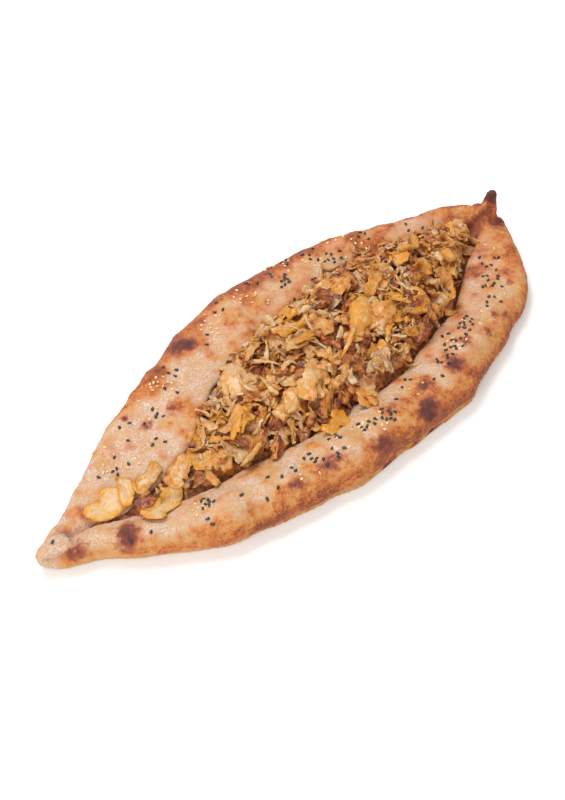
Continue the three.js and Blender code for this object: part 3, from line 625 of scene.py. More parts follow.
def shaving(rng, length, width, thickness=0.9, curl=0.0, bend=0.6, twist=0.0, ragged=0.26, steps=16, rows=6,
            limp=1.0, tears=3, blunt=0.8):
    """One thin slice as grids of top and bottom points, with each point's place along and across it.

    curl is the angle it turns through along its length, bend the angle across its width, twist the angle
    between its middle and its ends, ragged how uneven its edges are, tears how many notches an edge has at
    most, blunt how square its ends are, and limp how much its edges and middle waver. It has steps cells
    along it and rows cells across.
    """
    u, v = np.linspace(-1, 1, steps + 1), np.linspace(-1, 1, rows + 1)
    half = [0.5 * width * torn_edge(rng, u, ragged, tears, blunt) for _ in range(2)]
    across = np.where(v < 0, v * half[0][:, None], v * half[1][:, None])
    across = across + 0.14 * width * uneven(rng, steps + 1, 4)[:, None]
    bend = bend if abs(bend) > FLATTEST_BEND else FLATTEST_BEND
    arc = across / width * bend * (1 + 0.5 * uneven(rng, steps + 1, 4))[:, None]
    side, hollow = np.sin(arc) * width / bend, (1 - np.cos(arc)) * width / bend
    line_x, line_z, angle = curled_line(rng, length, curl, steps)
    lift = slice_lift(rng, width, v, across, hollow, limp)
    thin = (0.3 + 0.7 * (1 - np.abs(v) ** 3)) * (0.4 + 0.6 * (1 - np.abs(u) ** 6))[:, None]
    turn = twist * u[:, None]
    grids = []
    for way in (0.5, -0.5):
        out = lift + way * thickness * thin
        y, z = side * np.cos(turn) - out * np.sin(turn), side * np.sin(turn) + out * np.cos(turn)
        grids.append(np.stack([line_x[:, None] - z * np.sin(angle)[:, None], y,
                               line_z[:, None] + z * np.cos(angle)[:, None]], -1))
    edge = np.maximum(np.abs(v)[None] ** 2.2, np.abs(u)[:, None] ** 4)
    grain = np.stack(np.broadcast_arrays((u * length / 2)[:, None], across, 0.0), -1)
    return {"top": grids[0], "bottom": grids[1], "edge": edge, "grain": grain,
            "u": np.broadcast_to(u[:, None], edge.shape), "v": np.broadcast_to(v[None], edge.shape)}


def patchy(rng, piece, tone, edge_tint=0.09, patches=2, depth=0.25):
    """The piece's tone at each point: browner at its edges and in a few patches."""
    values = tone + edge_tint * piece["edge"] + rng.uniform(-0.12, 0.12) * piece["v"]
    for _ in range(rng.integers(0, patches + 1)):
        du, dv = piece["u"] - rng.uniform(-1, 1), piece["v"] - rng.uniform(-1, 1)
        values = values + depth * rng.uniform(-0.5, 1) * np.exp(-(du / 0.35) ** 2 - (dv / 0.6) ** 2)
    return np.clip(values + 0.03 * rng.uniform(-1, 1, values.shape), 0, 1)


# Tones, from translucent white to burnt: see the shavings' material.
CLEAR, PALE, TAN, GOLD, ROAST, BURNT = 0.02, 0.2, 0.38, 0.56, 0.76, 0.95
# No point of a laid piece lies lower or higher than these.
DEEPEST, HIGHEST = 6, 41


class Heap:
    """Gathers pieces by kind, laying each on what is already there."""

    ATTRIBUTES = ("tone", "edge", "warm", "grain")
    GOLDEN_SHARE = 0.08

    def __init__(self, surface, seed):
        self.surface = surface
        self.ground = surface.z.copy()
        self.rng = np.random.default_rng(seed)
        self.kinds = {}
        self.count = 0

    def lay(self, kind, piece, tones, x, y, yaw, pitch=0.0, roll=0.0, follow=0.75, drape=0.3, clear=0.86,
            tallest=8.5, golden=0.0):
        """Turns the piece, tilts it with the slope and drops it at x, y until it rests on what is there.

        follow is how far it takes the slope under it, clear the share of it that stays above what it sinks
        into, drape how far what overhangs sags, tallest its reach above the heap's own outline, and golden
        how yellow it is.
        """
        turn = self.tilt(x, y, yaw, pitch, roll, follow)
        shape = piece["top"].shape
        top, bottom = piece["top"].reshape(-1, 3) @ turn.T, piece["bottom"].reshape(-1, 3) @ turn.T
        under = self.surface.at(x + bottom[:, 0], y + bottom[:, 1])
        height = np.quantile(under - bottom[:, 2], clear)
        sag = drape * np.maximum(bottom[:, 2] + height - under - 1.5, 0)
        moved = np.array([x, y, height])
        top, bottom = top + moved, bottom + moved
        top[:, 2] -= sag
        bottom[:, 2] -= sag
        high = max(self.excess(top, tallest), 0)
        top[:, 2] = np.maximum(top[:, 2] - high, DEEPEST + 0.4)
        bottom[:, 2] = np.maximum(bottom[:, 2] - high, DEEPEST)
        self.surface.raise_to(top)
        self.keep(kind, piece, tones, self.warmth(piece, tones, golden),
                  shell_arrays(top.reshape(shape), bottom.reshape(shape)))

    def tilt(self, x, y, yaw, pitch, roll, follow):
        slope_x, slope_y = self.surface.slope(x, y)
        c, s = math.cos(yaw), math.sin(yaw)
        down_along, down_across = slope_x * c + slope_y * s, -slope_x * s + slope_y * c
        return rotation(yaw, pitch - follow * math.atan(down_along), roll + follow * math.atan(down_across))

    def excess(self, top, tallest):
        """How far the piece stands above its reach over the heap's outline and the bare food, or HIGHEST."""
        x, y, z = top.T
        ground = np.maximum(core_top(x, y), self.ground[self.surface.cells(x, y)])
        return max((z - ground).max() - self.rng.uniform(0.7, 1) * tallest, z.max() - HIGHEST)

    def warmth(self, piece, tones, golden):
        """How yellow each point is: more at the edges and in golden tones, and all over in a few pieces."""
        golden = max(golden, float(self.rng.random() < self.GOLDEN_SHARE))
        warm = 0.8 * self.rng.random() ** 2 + self.rng.uniform(0, 0.8) * piece["edge"].ravel() + golden
        warm = warm + 0.4 * math.exp(-(((tones.mean() - GOLD) / 0.07) ** 2))
        return np.clip(warm, 0, 1.6)

    def keep(self, kind, piece, tones, warm, shell):
        """Adds the piece to its kind, with a stretch of the grain's noise of its own."""
        self.count += 1
        grain = piece["grain"].reshape(-1, 3) + np.array([0, 0, 7.3 * self.count])
        values = (tones.ravel(), piece["edge"].ravel(), warm)
        values = [np.tile(value, 2) for value in values] + [np.tile(grain, (2, 1))]
        self.kinds.setdefault(kind, []).append((shell, values))

    def build(self, kind, name):
        """One mesh of all pieces of the kind, with a painted shade value that grows with a point's depth
        under what was laid over it.
        """
        shells, values = zip(*self.kinds[kind])
        attributes = {key: np.concatenate(column) for key, column in zip(self.ATTRIBUTES, zip(*values))}
        points, faces = joined(shells)
        # Painted shade: the further a point lies under the pieces laid over it, the darker and browner it is
        # painted.
        attributes["depth_shade"] = smooth(0.5, 6, self.surface.at(points[:, 0], points[:, 1]) - points[:, 2])
        return mesh_object(name, points, faces, attributes)


def core_top(x, y):
    """The heap's own outline, as in the CAD part."""
    left, right = lips(x)
    across = np.clip((2 * y - left - right) / (left - right - 4), -1, 1)
    crest = along(HEAP_TOP, x)
    return mix(np.minimum(12, crest), crest, np.sqrt(np.maximum(1 - np.abs(across) ** 2.6, 0)))


def well_span(x):
    """The y between which shavings lie at x: inside the lips, but out over the broad flap at the middle."""
    left, right = lips(x)
    low = right + 4.5 + 4 * smooth(100, 150, x) + 4 * smooth(-40, -80, x)
    high = left - 6 + 11 * smooth(-30, 10, x) - 7 * smooth(120, 160, x)
    return low, high


def scatter_place(heap, x_range, tries=9):
    """Of a few random places in the well, the one furthest below the heap's outline: it fills evenly."""
    rng, best, most = heap.rng, None, -1e9
    for _ in range(tries):
        x = rng.uniform(*x_range)
        y = mix(*well_span(x), rng.random())
        short = core_top(x, y) - heap.surface.at(x, y)
        if short > most:
            best, most = (x, y), short
    return best


# How many shavings of each kind fill the heap.
FILL = {"wide": 330, "strip": 190, "curl": 125}


def fill_heap(heap):
    """Fills the well with shavings in a random order, lying flatter at the bottom than at the top."""
    rng = heap.rng
    tones = [CLEAR, CLEAR, CLEAR, CLEAR + 0.1, PALE, PALE, PALE, TAN, TAN, TAN, GOLD, GOLD, ROAST, ROAST]
    kinds = rng.permutation(np.repeat(list(FILL), list(FILL.values())))
    for i, kind in enumerate(kinds):
        x, y = scatter_place(heap, (-118, 174))
        tone = rng.choice(tones) + rng.uniform(-0.06, 0.06)
        big = rng.random() ** 1.2
        bend = rng.choice([-1, 1]) * rng.uniform(0.3, 1.9)
        steep = mix(0.3, 0.85, i / len(kinds))
        roll = rng.uniform(-1, 1) * steep
        if kind == "wide":
            piece = shaving(rng, mix(12, 28, big), mix(6, 14, big) * rng.uniform(0.8, 1.2),
                            rng.uniform(0.6, 1.1), rng.uniform(-2, 2), bend, rng.uniform(-0.9, 0.9))
        elif kind == "strip":
            piece = shaving(rng, mix(13, 30, big), rng.uniform(3, 6.5), rng.uniform(0.6, 1.2),
                            rng.uniform(-2.2, 2.2), bend, rng.uniform(-1.4, 1.4), rows=5)
        else:
            piece = shaving(rng, rng.uniform(18, 34), rng.uniform(4, 8), 0.9, rng.uniform(2.6, 5.2), 0.5,
                            rng.uniform(-0.6, 0.6), ragged=0.1, steps=22, rows=4, limp=0.35, tears=1)
            roll = rng.choice([-1, 1]) * rng.uniform(0.7, 1.5)
        heap.lay(kind, piece, patchy(rng, piece, tone), x, y, rng.uniform(0, TAU), rng.uniform(-steep, steep),
                 roll)


# Pieces that stand out: (kind, x, y, length, width, curl, yaw, pitch, roll, twist, tone).
HEROES = [
    ("yellow", -86, -4, 19, 10, -1.3, 1.0, 0.1, 0.2, 0.0, TAN),
    ("yellow", -68, -16, 27, 10, -1.0, 0.3, 0.1, -0.2, 0.6, TAN),
    ("wide", -81, -25, 25, 17, 0.7, 1.9, -0.2, 0.1, 0.3, CLEAR),
    ("wide", -95, -18, 31, 13, 0.5, -0.7, 0.3, 0.1, 0.3, PALE),
    ("wide", -60, -27, 28, 12, -1.1, 0.6, 0.3, 0.55, 0.2, GOLD),
    ("strip", -50, -34, 33, 9, 0.7, 0.5, 0.1, 0.7, 0.4, GOLD + 0.04),
    ("strip", -55, -36, 26, 6, 0.5, 0.7, 0.1, 0.6, 0.3, ROAST - 0.08),
    ("curl", 41, 17, 27, 10, 3.4, -2.2, 0.1, 0.8, 0.2, ROAST - 0.05),
    ("wide", 21, 5, 31, 13, 0.8, 1.2, 0.25, -0.4, 0.4, PALE + 0.1),
    ("wide", 44, -10, 45, 18, -0.7, 0.55, 0.0, 0.1, 0.3, TAN - 0.04),
    ("yellow", -18, -50, 27, 16, -0.9, 0.4, 0.1, 0.25, 0.2, TAN),
    ("wide", 11, -47, 25, 13, -1.3, 1.3, 0.3, 0.2, 0.2, TAN),
    ("wide", 60, -20, 29, 17, -0.9, 0.2, -0.1, 0.2, 0.3, PALE + 0.1),
    ("yellow", 83, -18, 31, 12, 1.6, 1.7, 0.4, 0.4, 0.7, TAN),
    ("wide", 92, -24, 28, 14, -1.4, 1.1, -0.2, 0.4, 0.4, TAN + 0.06),
    ("strip", 139, 8, 28, 10, 1.2, 2.0, 0.3, -0.2, 0.4, TAN),
    ("yellow", 109, 17, 25, 14, -1.7, 0.8, 0.1, -0.3, 0.3, TAN),
    ("wide", 77, 9, 34, 15, -1.6, 0.5, 0, 0.1, 0.3, TAN + 0.05),
    ("wide", 3, 3, 28, 14, -0.8, -0.2, 0.25, 0.1, 0.3, PALE + 0.08),
    ("strip", 10, 18, 37, 11, 0.6, -0.4, 0.1, 0, 0.6, TAN),
    ("yellow", 22, 34, 31, 14, -1.2, 0.7, 0.1, -0.3, 0.2, TAN),
    ("wide", 54, 25, 27, 15, 1.2, 1.5, 0.35, -0.2, 0.3, TAN),
    ("strip", 112, 1, 32, 10, -2.0, 1.2, 0.3, 0, 0.5, TAN + 0.04),
    ("curl", 117, -22, 33, 9, 3.2, -2.0, 0.1, 0.8, 0.4, TAN),
    ("curl", 155, 10, 25, 7, 3.0, -2.5, 0.1, 0.9, 0.3, TAN - 0.04),
    ("wide", 50, -36, 25, 15, 0.9, 1.4, 0.35, 0.3, 0.2, TAN + 0.1),
    ("wide", -13, -21, 35, 14, -0.5, 0.5, 0, 0.1, 0.3, PALE + 0.06),
    ("wide", -33, -24, 33, 13, -0.6, 0.2, 0.1, 0.2, 0.3, PALE + 0.1),
    ("wide", -12, -36, 31, 12, -0.6, 0.5, 0, 0.3, 0.3, GOLD),
    ("strip", -40, -6, 31, 5, 1.1, 1.1, 0.2, 0.1, 0.5, CLEAR + 0.08),
    ("wide", 5, -34, 29, 13, -0.7, 0.9, 0.1, 0.3, 0.2, GOLD + 0.03),
    ("strip", -20, 24, 30, 8, -1.0, 0.4, 0.2, -0.2, 0.4, TAN),
    ("wide", 90, 30, 26, 13, 0.9, 0.9, 0.2, -0.3, 0.3, TAN),
    ("curl", 100, -30, 42, 9, 4.6, -2.3, 0.1, 0.8, 0.2, TAN + 0.08),
    ("curl", 137, -9, 36, 7, 5.2, -2.3, 0.0, 0.9, 0.2, PALE + 0.1),
    ("curl", 146, 2, 30, 7, 4.2, -2.0, 0.2, 1.0, 0.3, TAN),
    ("curl", 120, 12, 26, 8, 3.6, -2.7, 0.0, 0.9, 0.2, PALE + 0.1),
    ("curl", 108, -8, 30, 8, 4.4, -2.1, 0.2, 0.8, 0.2, GOLD - 0.04),
    ("curl", 84, -28, 28, 8, 3.4, -2.6, 0.1, 0.8, 0.3, TAN),
    ("curl", 66, 20, 30, 9, 3.2, -1.9, 0.0, 0.8, 0.2, ROAST - 0.1),
    ("curl", 0, 27, 26, 6, 3.6, -2.3, 0.1, 0.9, 0.3, CLEAR + 0.1),
    ("curl", -70, -30, 28, 6, 3.0, -2.2, 0.1, 0.9, 0.3, PALE),
    ("curl", -92, -8, 24, 6, 3.4, -2.6, 0.0, 0.9, 0.3, PALE + 0.1),
    ("fibre", 26, -18, 37, 3.2, -1.7, 0.45, 0.2, 0.3, 0.5, CLEAR + 0.08),
    ("fibre", -46, 2, 28, 3, 1.9, 1.5, 0.2, 0.3, 0.5, CLEAR + 0.1),
    ("fibre", -72, -34, 30, 3, -1.9, 0.2, 0.2, 0.3, 0.5, PALE),
    ("petal", -40, 15, 42, 29, -1.3, 0.9, 0.1, 0.05, 0.15, CLEAR + 0.08),
]
# How each kind of them is made. joins: the mesh it goes into. leaves: the size of each leaf, lowest first.
BROAD = {"joins": "petal", "leaves": (0.9, 0.7), "widen": 0.95, "bend": 1, "clear": 0.75, "tallest": 12,
         "golden": 0, "cut": {"ragged": 0.3, "steps": 18, "rows": 9, "limp": 1.1, "tears": 4}}
SLIM = {"joins": "curl", "leaves": (0.9,), "widen": 1.2, "bend": 0.5, "clear": 0.9, "tallest": 16,
        "golden": 0, "cut": {"ragged": 0.1, "steps": 24, "rows": 9, "limp": 0.35, "tears": 1}}
STYLES = {"wide": BROAD, "yellow": BROAD | {"golden": 1.6}, "strip": BROAD | {"joins": "strip"}, "curl": SLIM,
          "fibre": SLIM | {"joins": "fibre", "widen": 0.95, "cut": SLIM["cut"] | {"rows": 3}},
          "petal": BROAD | {"leaves": (1,), "tallest": 16,
                            "cut": {"ragged": 0.1, "steps": 18, "rows": 9, "limp": 0.35, "tears": 0}}}


def crown_heap(heap):
    """Lays the pieces that stand out on top of the heap."""
    rng = heap.rng
    for kind, x, y, length, width, curl, yaw, pitch, roll, twist, tone in HEROES:
        style = STYLES[kind]
        for leaf, size in enumerate(style["leaves"]):
            bend = rng.choice([-1, 1]) * rng.uniform(0.4, 1.6) * style["bend"]
            thickness = 1.5 if tone > GOLD else 1.0
            piece = shaving(rng, size * length, size * style["widen"] * width, thickness, curl, bend, twist,
                            **style["cut"])
            tones = patchy(rng, piece, tone + 0.08 * leaf, edge_tint=0.12, patches=3, depth=0.22)
            aside, ahead = leaf * rng.uniform(-5, 5), leaf * rng.uniform(-4, 4)
            heap.lay(style["joins"], piece, tones, x + aside, y + ahead, yaw + 0.3 * leaf, pitch, roll,
                     follow=0.4, drape=0.2, clear=style["clear"], tallest=style["tallest"],
                     golden=style["golden"])


def scatter_trimmings(heap):
    """Thin pale fibres and small crisp crumbs over the heap and at its foot."""
    rng = heap.rng
    for _ in range(46):
        x, y = scatter_place(heap, (-108, 170), 3)
        piece = shaving(rng, rng.uniform(9, 22), rng.uniform(1.2, 2.4), 0.8, rng.uniform(-2.8, 2.8), 0.3,
                        rng.uniform(-1, 1), ragged=0.2, steps=12, rows=2)
        heap.lay("fibre", piece, patchy(rng, piece, rng.choice([CLEAR + 0.08, PALE, TAN])), x, y,
                 rng.uniform(0, TAU), rng.uniform(-0.5, 0.5), rng.uniform(-0.5, 0.5), drape=0.4)
    for _ in range(130):
        x, y = scatter_place(heap, (-138, 174), 2)
        piece = shaving(rng, rng.uniform(3, 8.5), rng.uniform(1.8, 4.5), rng.uniform(0.6, 1.2),
                        rng.uniform(-1.6, 1.6), rng.uniform(-1.5, 1.5), rng.uniform(-0.8, 0.8),
                        ragged=0.4, steps=7, rows=3)
        tone = rng.choice([PALE, TAN, TAN, GOLD, GOLD, ROAST, BURNT - 0.05],
                          p=[0.15, 0.22, 0.22, 0.15, 0.14, 0.08, 0.04])
        heap.lay("crumb", piece, patchy(rng, piece, tone), x, y, rng.uniform(0, TAU), rng.uniform(-0.7, 0.7),
                 rng.uniform(-0.7, 0.7))


# The loose pieces at the narrow end, each a CAD node: (node, x, y, length, width, curl, yaw, roll, tone).
LOOSE = [
    ("onion_flake_tip", -157, 4, 27, 17, 0.9, 0.1, 0.12, 0),
    ("onion_flake_fold", -142, 4, 25, 11, -0.7, 1.15, 0.1, 0),
    ("onion_flake_slit", -133, -21, 32, 18, 0.7, 0.25, 0.1, 0),
    ("shaving_slit_low", -127, 1, 26, 12, -0.8, 0.35, -0.1, PALE + 0.05),
    ("shaving_slit_high", -113, -11, 25, 15, -1.0, 0.4, 0.15, TAN - 0.04),
]


# ---------- Sauce, core and lumps ----------
def well_plate(name, first, last, height, relief, seed, floor, gap):
    """A closed plate in the well from first to last, with a crumbly top and a gap between it and the lips."""
    x = np.arange(first, last + 0.1, 0.9)
    left, right = lips(x)
    share = np.linspace(0, 1, 96)
    y = mix((right + gap)[:, None], (left - gap)[:, None], share[None])
    grid_x = np.broadcast_to(x[:, None], y.shape)
    flat = np.stack([grid_x, y, np.full_like(y, seed)], -1).reshape(-1, 3)
    lumps = field(flat, 7, 2) * 0.6 + np.abs(field(flat + 40, 3.2, 3)) * 0.9 + field(flat + 80, 1.4, 2) * 0.25
    top = np.stack([grid_x, y, height(grid_x, y) + relief * lumps.reshape(y.shape)], -1)
    bottom = np.stack([grid_x, y, np.full_like(y, floor)], -1)
    points, faces = shell_arrays(top, bottom)
    tone = np.tile(np.clip(0.5 + 0.5 * lumps, 0, 1), 2)
    return mesh_object(name, points, faces, {"tone": tone}), top


def lump_arrays(rng, centre, radii, yaw):
    """A bumpy lump of meat."""
    ball = ball_grid(22, 30, 0.05)
    flat = ball.reshape(-1, 3)
    bumpy = 1 + 0.34 * field(flat * 10 + rng.uniform(0, 90), 6, 2) + 0.16 * field(flat * 10 + 30, 2.4, 3)
    shaped = flat * bumpy[:, None] * np.array(radii) @ rotation(yaw).T + np.array(centre)
    return loft_arrays(shaped.reshape(ball.shape)[:, ::-1])


# ---------- Seeds ----------
def seed_arrays(size):
    """One seed: a flattened drop, pointed at one end."""
    drop = ball_grid(7, 8, 0.06)
    drop[..., 1:] *= 1 - 0.28 * drop[..., :1]
    return loft_arrays(drop[:, ::-1] * np.array(size) / 2)


def seed_place(rng, cx, cy, spread, tree, surface, placed):
    """A free place on the bare crust near cx, cy: its x, its y, the crust there and its normal, or None."""
    for _ in range(12):
        angle, reach = rng.uniform(0, TAU), 1.45 * spread * math.sqrt(rng.random())
        x, y = cx + reach * math.cos(angle), cy + reach * math.sin(angle)
        hit, normal, _, _ = tree.ray_cast(Vector((x * MM, y * MM, 0.1)), Vector((0, 0, -1)))
        is_bare = hit is not None and surface.at(x, y) < hit.z / MM + 1.0
        if is_bare and all(math.hypot(x - px, y - py) > SEED_SPACING for px, py in placed):
            return x, y, hit, normal
    return None


def scatter_seeds(name, clusters, size, tree, surface, rng):
    """Seeds in loose clusters on the crust, each lying with the dough under it."""
    points, faces = seed_arrays(size)
    seeds, shades, placed = [], [], []
    for cx, cy, spread in [(cx, cy, spread) for cx, cy, count, spread in clusters for _ in range(count)]:
        place = seed_place(rng, cx, cy, spread, tree, surface, placed)
        if place is None:
            continue
        x, y, hit, normal = place
        placed.append((x, y))
        lie = Vector((0, 0, 1)).rotation_difference(normal).to_matrix()
        turn = np.array(lie) @ rotation(rng.uniform(0, TAU), rng.uniform(-0.15, 0.15), rng.uniform(-0.3, 0.3))
        scale = rng.uniform(0.88, 1.1)
        centre = np.array(hit) / MM + np.array(normal) * 0.3 * size[2]
        seeds.append((points * scale @ turn.T + centre, faces))
        shades.append(np.full(len(points), rng.random()))
    return mesh_object(name, *joined(seeds), {"tone": np.concatenate(shades)})


# ---------- Materials ----------
def linear(red, green, blue):
    """A colour given as 0 to 255 on a screen, as Blender's linear values."""
    return (*[c / 12.92 if c <= 0.04045 else ((c + 0.055) / 1.055) ** 2.4
              for c in (v / 255 for v in (red, green, blue))], 1.0)


class Paint:
    """A material's node graph, with short names for the nodes that the food uses."""

    def __init__(self, name, **settings):
        self.material = bpy.data.materials.new(name)
        self.material.use_nodes = True
        self.tree = self.material.node_tree
        self.shader = self.tree.nodes["Principled BSDF"]
        for key, value in settings.items():
            self.shader.inputs[key.replace("_", " ")].default_value = value
        self.shader.inputs["Subsurface Radius"].default_value = (1.0, 0.75, 0.55)

    def node(self, kind, inputs=(), **settings):
        made = self.tree.nodes.new(kind)
        for key, value in settings.items():
            setattr(made, key, value)
        for key, value in dict(inputs).items():
            if isinstance(value, bpy.types.NodeSocket):
                self.tree.links.new(value, made.inputs[key])
            else:
                made.inputs[key].default_value = value
        return made

    def attribute(self, name, vector=False):
        return self.node("ShaderNodeAttribute", attribute_name=name).outputs["Vector" if vector else "Fac"]

    def place(self):
        return self.node("ShaderNodeTexCoord").outputs["Object"]

    def noise(self, scale, detail=3.0, vector=None, roughness=0.55, distortion=0.0):
        inputs = {"Vector": vector or self.place(), "Scale": scale, "Detail": detail, "Roughness": roughness,
                  "Distortion": distortion}
        return self.node("ShaderNodeTexNoise", inputs).outputs["Fac"]

    def math(self, operation, a, b=0.0, clamp=False):
        return self.node("ShaderNodeMath", {0: a, 1: b}, operation=operation, use_clamp=clamp).outputs[0]

    def span(self, value, low, high, to_low=0.0, to_high=1.0):
        inputs = {"Value": value, "From Min": low, "From Max": high, "To Min": to_low, "To Max": to_high}
        return self.node("ShaderNodeMapRange", inputs).outputs["Result"]

    def vary(self, value, pattern, low, high, amount, clamp=False):
        """The value less the amount where the pattern is low, and more by the amount where it is high."""
        return self.math("ADD", value, self.span(pattern, low, high, -amount, amount), clamp)

    def streaks(self, scale, grain, share):
        """Noise drawn out along the grain."""
        stretched = self.node("ShaderNodeVectorMath", {0: grain, 1: (share, 1.0, 1.0)}, operation="MULTIPLY")
        return self.noise(scale, 3, stretched.outputs["Vector"])

    def blend(self, share, a, b):
        made = self.node("ShaderNodeMix", data_type="RGBA")
        for socket, value in ((made.inputs[0], share), (made.inputs[6], a), (made.inputs[7], b)):
            if isinstance(value, bpy.types.NodeSocket):
                self.tree.links.new(value, socket)
            else:
                socket.default_value = value
        return made.outputs[2]

    def ramp(self, value, stops):
        """A colour ramp; each stop is a position and a colour as 0 to 255."""
        made = self.node("ShaderNodeValToRGB", {"Fac": value})
        while len(made.color_ramp.elements) < len(stops):
            made.color_ramp.elements.new(0.5)
        for element, (position, colour) in zip(made.color_ramp.elements, stops):
            element.position = position
            element.color = linear(*colour)
        return made.outputs["Color"]

    def set(self, socket, value):
        self.tree.links.new(value, self.shader.inputs[socket])

    def bump(self, height, strength, distance):
        made = self.node("ShaderNodeBump", {"Height": height, "Strength": strength, "Distance": distance})
        self.set("Normal", made.outputs["Normal"])


def crust_material():
    """The crust: dough made browner by baking and darker by painted shade in its creases and on one side of
    the horn, from one attribute, dusted with flour and scorched.
    """
    paint = Paint("baked_crust", Roughness=0.7, Subsurface_Weight=0.08, Subsurface_Scale=0.002, IOR=1.4)
    mottle, speckle, fine = paint.noise(85, 4), paint.noise(330, 4, roughness=0.65), paint.noise(800, 3)
    # That attribute holds baked colour and painted shade together: creases and one side of the horn come out
    # darker.
    browned_and_shaded = paint.vary(paint.attribute("brown_and_shade"), mottle, 0.3, 0.7, 0.2)
    browned_and_shaded = paint.vary(browned_and_shaded, speckle, 0.35, 0.65, 0.24)
    browned_and_shaded = paint.vary(browned_and_shaded, fine, 0.38, 0.62, 0.2, True)
    dough = paint.ramp(browned_and_shaded, [(0.0, (199, 155, 100)), (0.25, (199, 136, 70)), (0.5, (191, 111, 50)),
                                 (0.75, (165, 84, 40)), (1.0, (124, 60, 34))])
    floury = paint.math("MULTIPLY", paint.attribute("flour"), paint.span(speckle, 0.3, 0.7, 0.3, 1.4))
    floury = paint.math("MULTIPLY", floury, paint.span(mottle, 0.3, 0.65, 0.4, 1.1))
    floury = paint.math("MULTIPLY", floury, paint.span(fine, 0.4, 0.6, 0.4, 1.0), True)
    dough = paint.blend(floury, dough, linear(205, 189, 176))
    dough = paint.blend(paint.span(fine, 0.6, 0.38, 0.0, 0.34), dough, linear(158, 92, 50))
    charred = paint.vary(paint.attribute("char"), speckle, 0.3, 0.7, 0.24)
    charred = paint.math("MULTIPLY", charred, paint.span(paint.attribute("char"), 0.0, 0.15), True)
    scorch = paint.ramp(charred, [(0.0, (190, 112, 62)), (0.35, (156, 82, 50)), (0.7, (118, 58, 44)),
                                  (1.0, (84, 44, 36))])
    paint.set("Base Color", paint.blend(paint.span(charred, 0.02, 0.55), dough, scorch))
    relief = paint.math("ADD", paint.math("MULTIPLY", speckle, 0.5), paint.math("MULTIPLY", fine, 0.5))
    paint.bump(relief, 1.0, 0.0013)
    return paint.material


# The colours at the shavings' tones, as 0 to 255.
SHAVING_TONES = [(0.0, (214, 190, 156)), (0.2, (209, 170, 116)), (0.4, (205, 146, 74)),
                 (0.56, (204, 124, 46)), (0.76, (158, 74, 32)), (0.95, (84, 36, 24))]


def shaving_material():
    """Roasted shavings: streaked tones, yellower where warm, and darker and browner with painted shade where
    buried in the heap.
    """
    paint = Paint("roasted_shavings", Roughness=0.4, Subsurface_Weight=0.2, Subsurface_Scale=0.001, IOR=1.45,
                  Coat_Weight=0.3, Coat_Roughness=0.16)
    grain = paint.attribute("grain", True)
    streaks = paint.streaks(2.1, grain, 0.12)
    blotches = paint.noise(0.28, 4, grain)
    freckles = paint.noise(1.3, 2, grain)
    tone = paint.vary(paint.attribute("tone"), streaks, 0.35, 0.65, 0.13)
    tone = paint.vary(tone, blotches, 0.38, 0.62, 0.18)
    tone = paint.math("ADD", tone, paint.span(freckles, 0.62, 0.8, 0.0, 0.2), True)
    warm = paint.math("MULTIPLY", paint.attribute("warm"), paint.span(blotches, 0.3, 0.6, 0.2, 0.75), True)
    warm = paint.math("MULTIPLY", warm, paint.span(tone, 0.55, 0.8, 1.0, 0.0), True)
    flesh = paint.blend(warm, paint.ramp(tone, SHAVING_TONES), linear(212, 140, 6))
    # Painted shade: buried points are blended towards dark brown.
    paint.set("Base Color", paint.blend(paint.math("MULTIPLY", paint.attribute("depth_shade"), 0.75), flesh,
                                        linear(168, 78, 22)))
    paint.set("Roughness", paint.span(blotches, 0.4, 0.6, 0.2, 0.42))
    relief = paint.math("ADD", streaks, paint.math("MULTIPLY", freckles, 0.6))
    paint.bump(relief, 1.0, 0.0009)
    return paint.material


def onion_material():
    """Soft onion, pale in the middle and yellow at its rim."""
    paint = Paint("soft_onion", Roughness=0.3, Subsurface_Weight=0.3, Subsurface_Scale=0.0012, IOR=1.42)
    grain = paint.attribute("grain", True)
    blotches = paint.noise(0.25, 3, grain)
    veins = paint.streaks(0.9, grain, 0.15)
    rim = paint.math("POWER", paint.attribute("edge"), 1.6)
    tone = paint.math("ADD", rim, paint.span(blotches, 0.3, 0.7, -0.25, 0.45))
    tone = paint.vary(tone, veins, 0.35, 0.65, 0.15, True)
    paint.set("Base Color", paint.ramp(tone, [(0.0, (214, 182, 148)), (0.22, (216, 174, 112)),
                                              (0.5, (220, 156, 60)), (1.0, (206, 128, 34))]))
    paint.bump(paint.math("ADD", veins, paint.noise(1.6, 3, grain)), 0.8, 0.0008)
    return paint.material


def mince_material(name, stops, roughness):
    """Something crumbly and moist, in the colours of the stops."""
    paint = Paint(name, Roughness=roughness, Subsurface_Weight=0.1, Subsurface_Scale=0.003)
    clumps, grit = paint.noise(260, 4), paint.noise(900, 3)
    tone = paint.vary(paint.span(clumps, 0.3, 0.7), grit, 0.3, 0.7, 0.25, True)
    paint.set("Base Color", paint.ramp(tone, stops))
    paint.bump(paint.math("ADD", clumps, grit), 0.5, 0.0008)
    return paint.material


def seed_material(name, dark, light, roughness):
    paint = Paint(name, Roughness=roughness)
    shade = paint.vary(paint.attribute("tone"), paint.noise(900, 2), 0.3, 0.7, 0.3, True)
    paint.set("Base Color", paint.blend(shade, dark, light))
    return paint.material


# ---------- Putting it together ----------
# Meat in the heap: (centre, radii, yaw), and the lump at the narrow end.
MEAT_BITS = [((77, -33, 20.5), (11, 7, 4.5), 0.5), ((124, 0, 26), (7, 4.5, 3.5), 1.0),
             ((-3, 14, 28.5), (7, 4.5, 3.5), 0.9), ((-60, 14, 18), (8, 4.5, 4), 0.9)]
MEAT_LUMP = ((-140, -11.5, 13.2), (8.5, 6.2, 5.6), 0.5)


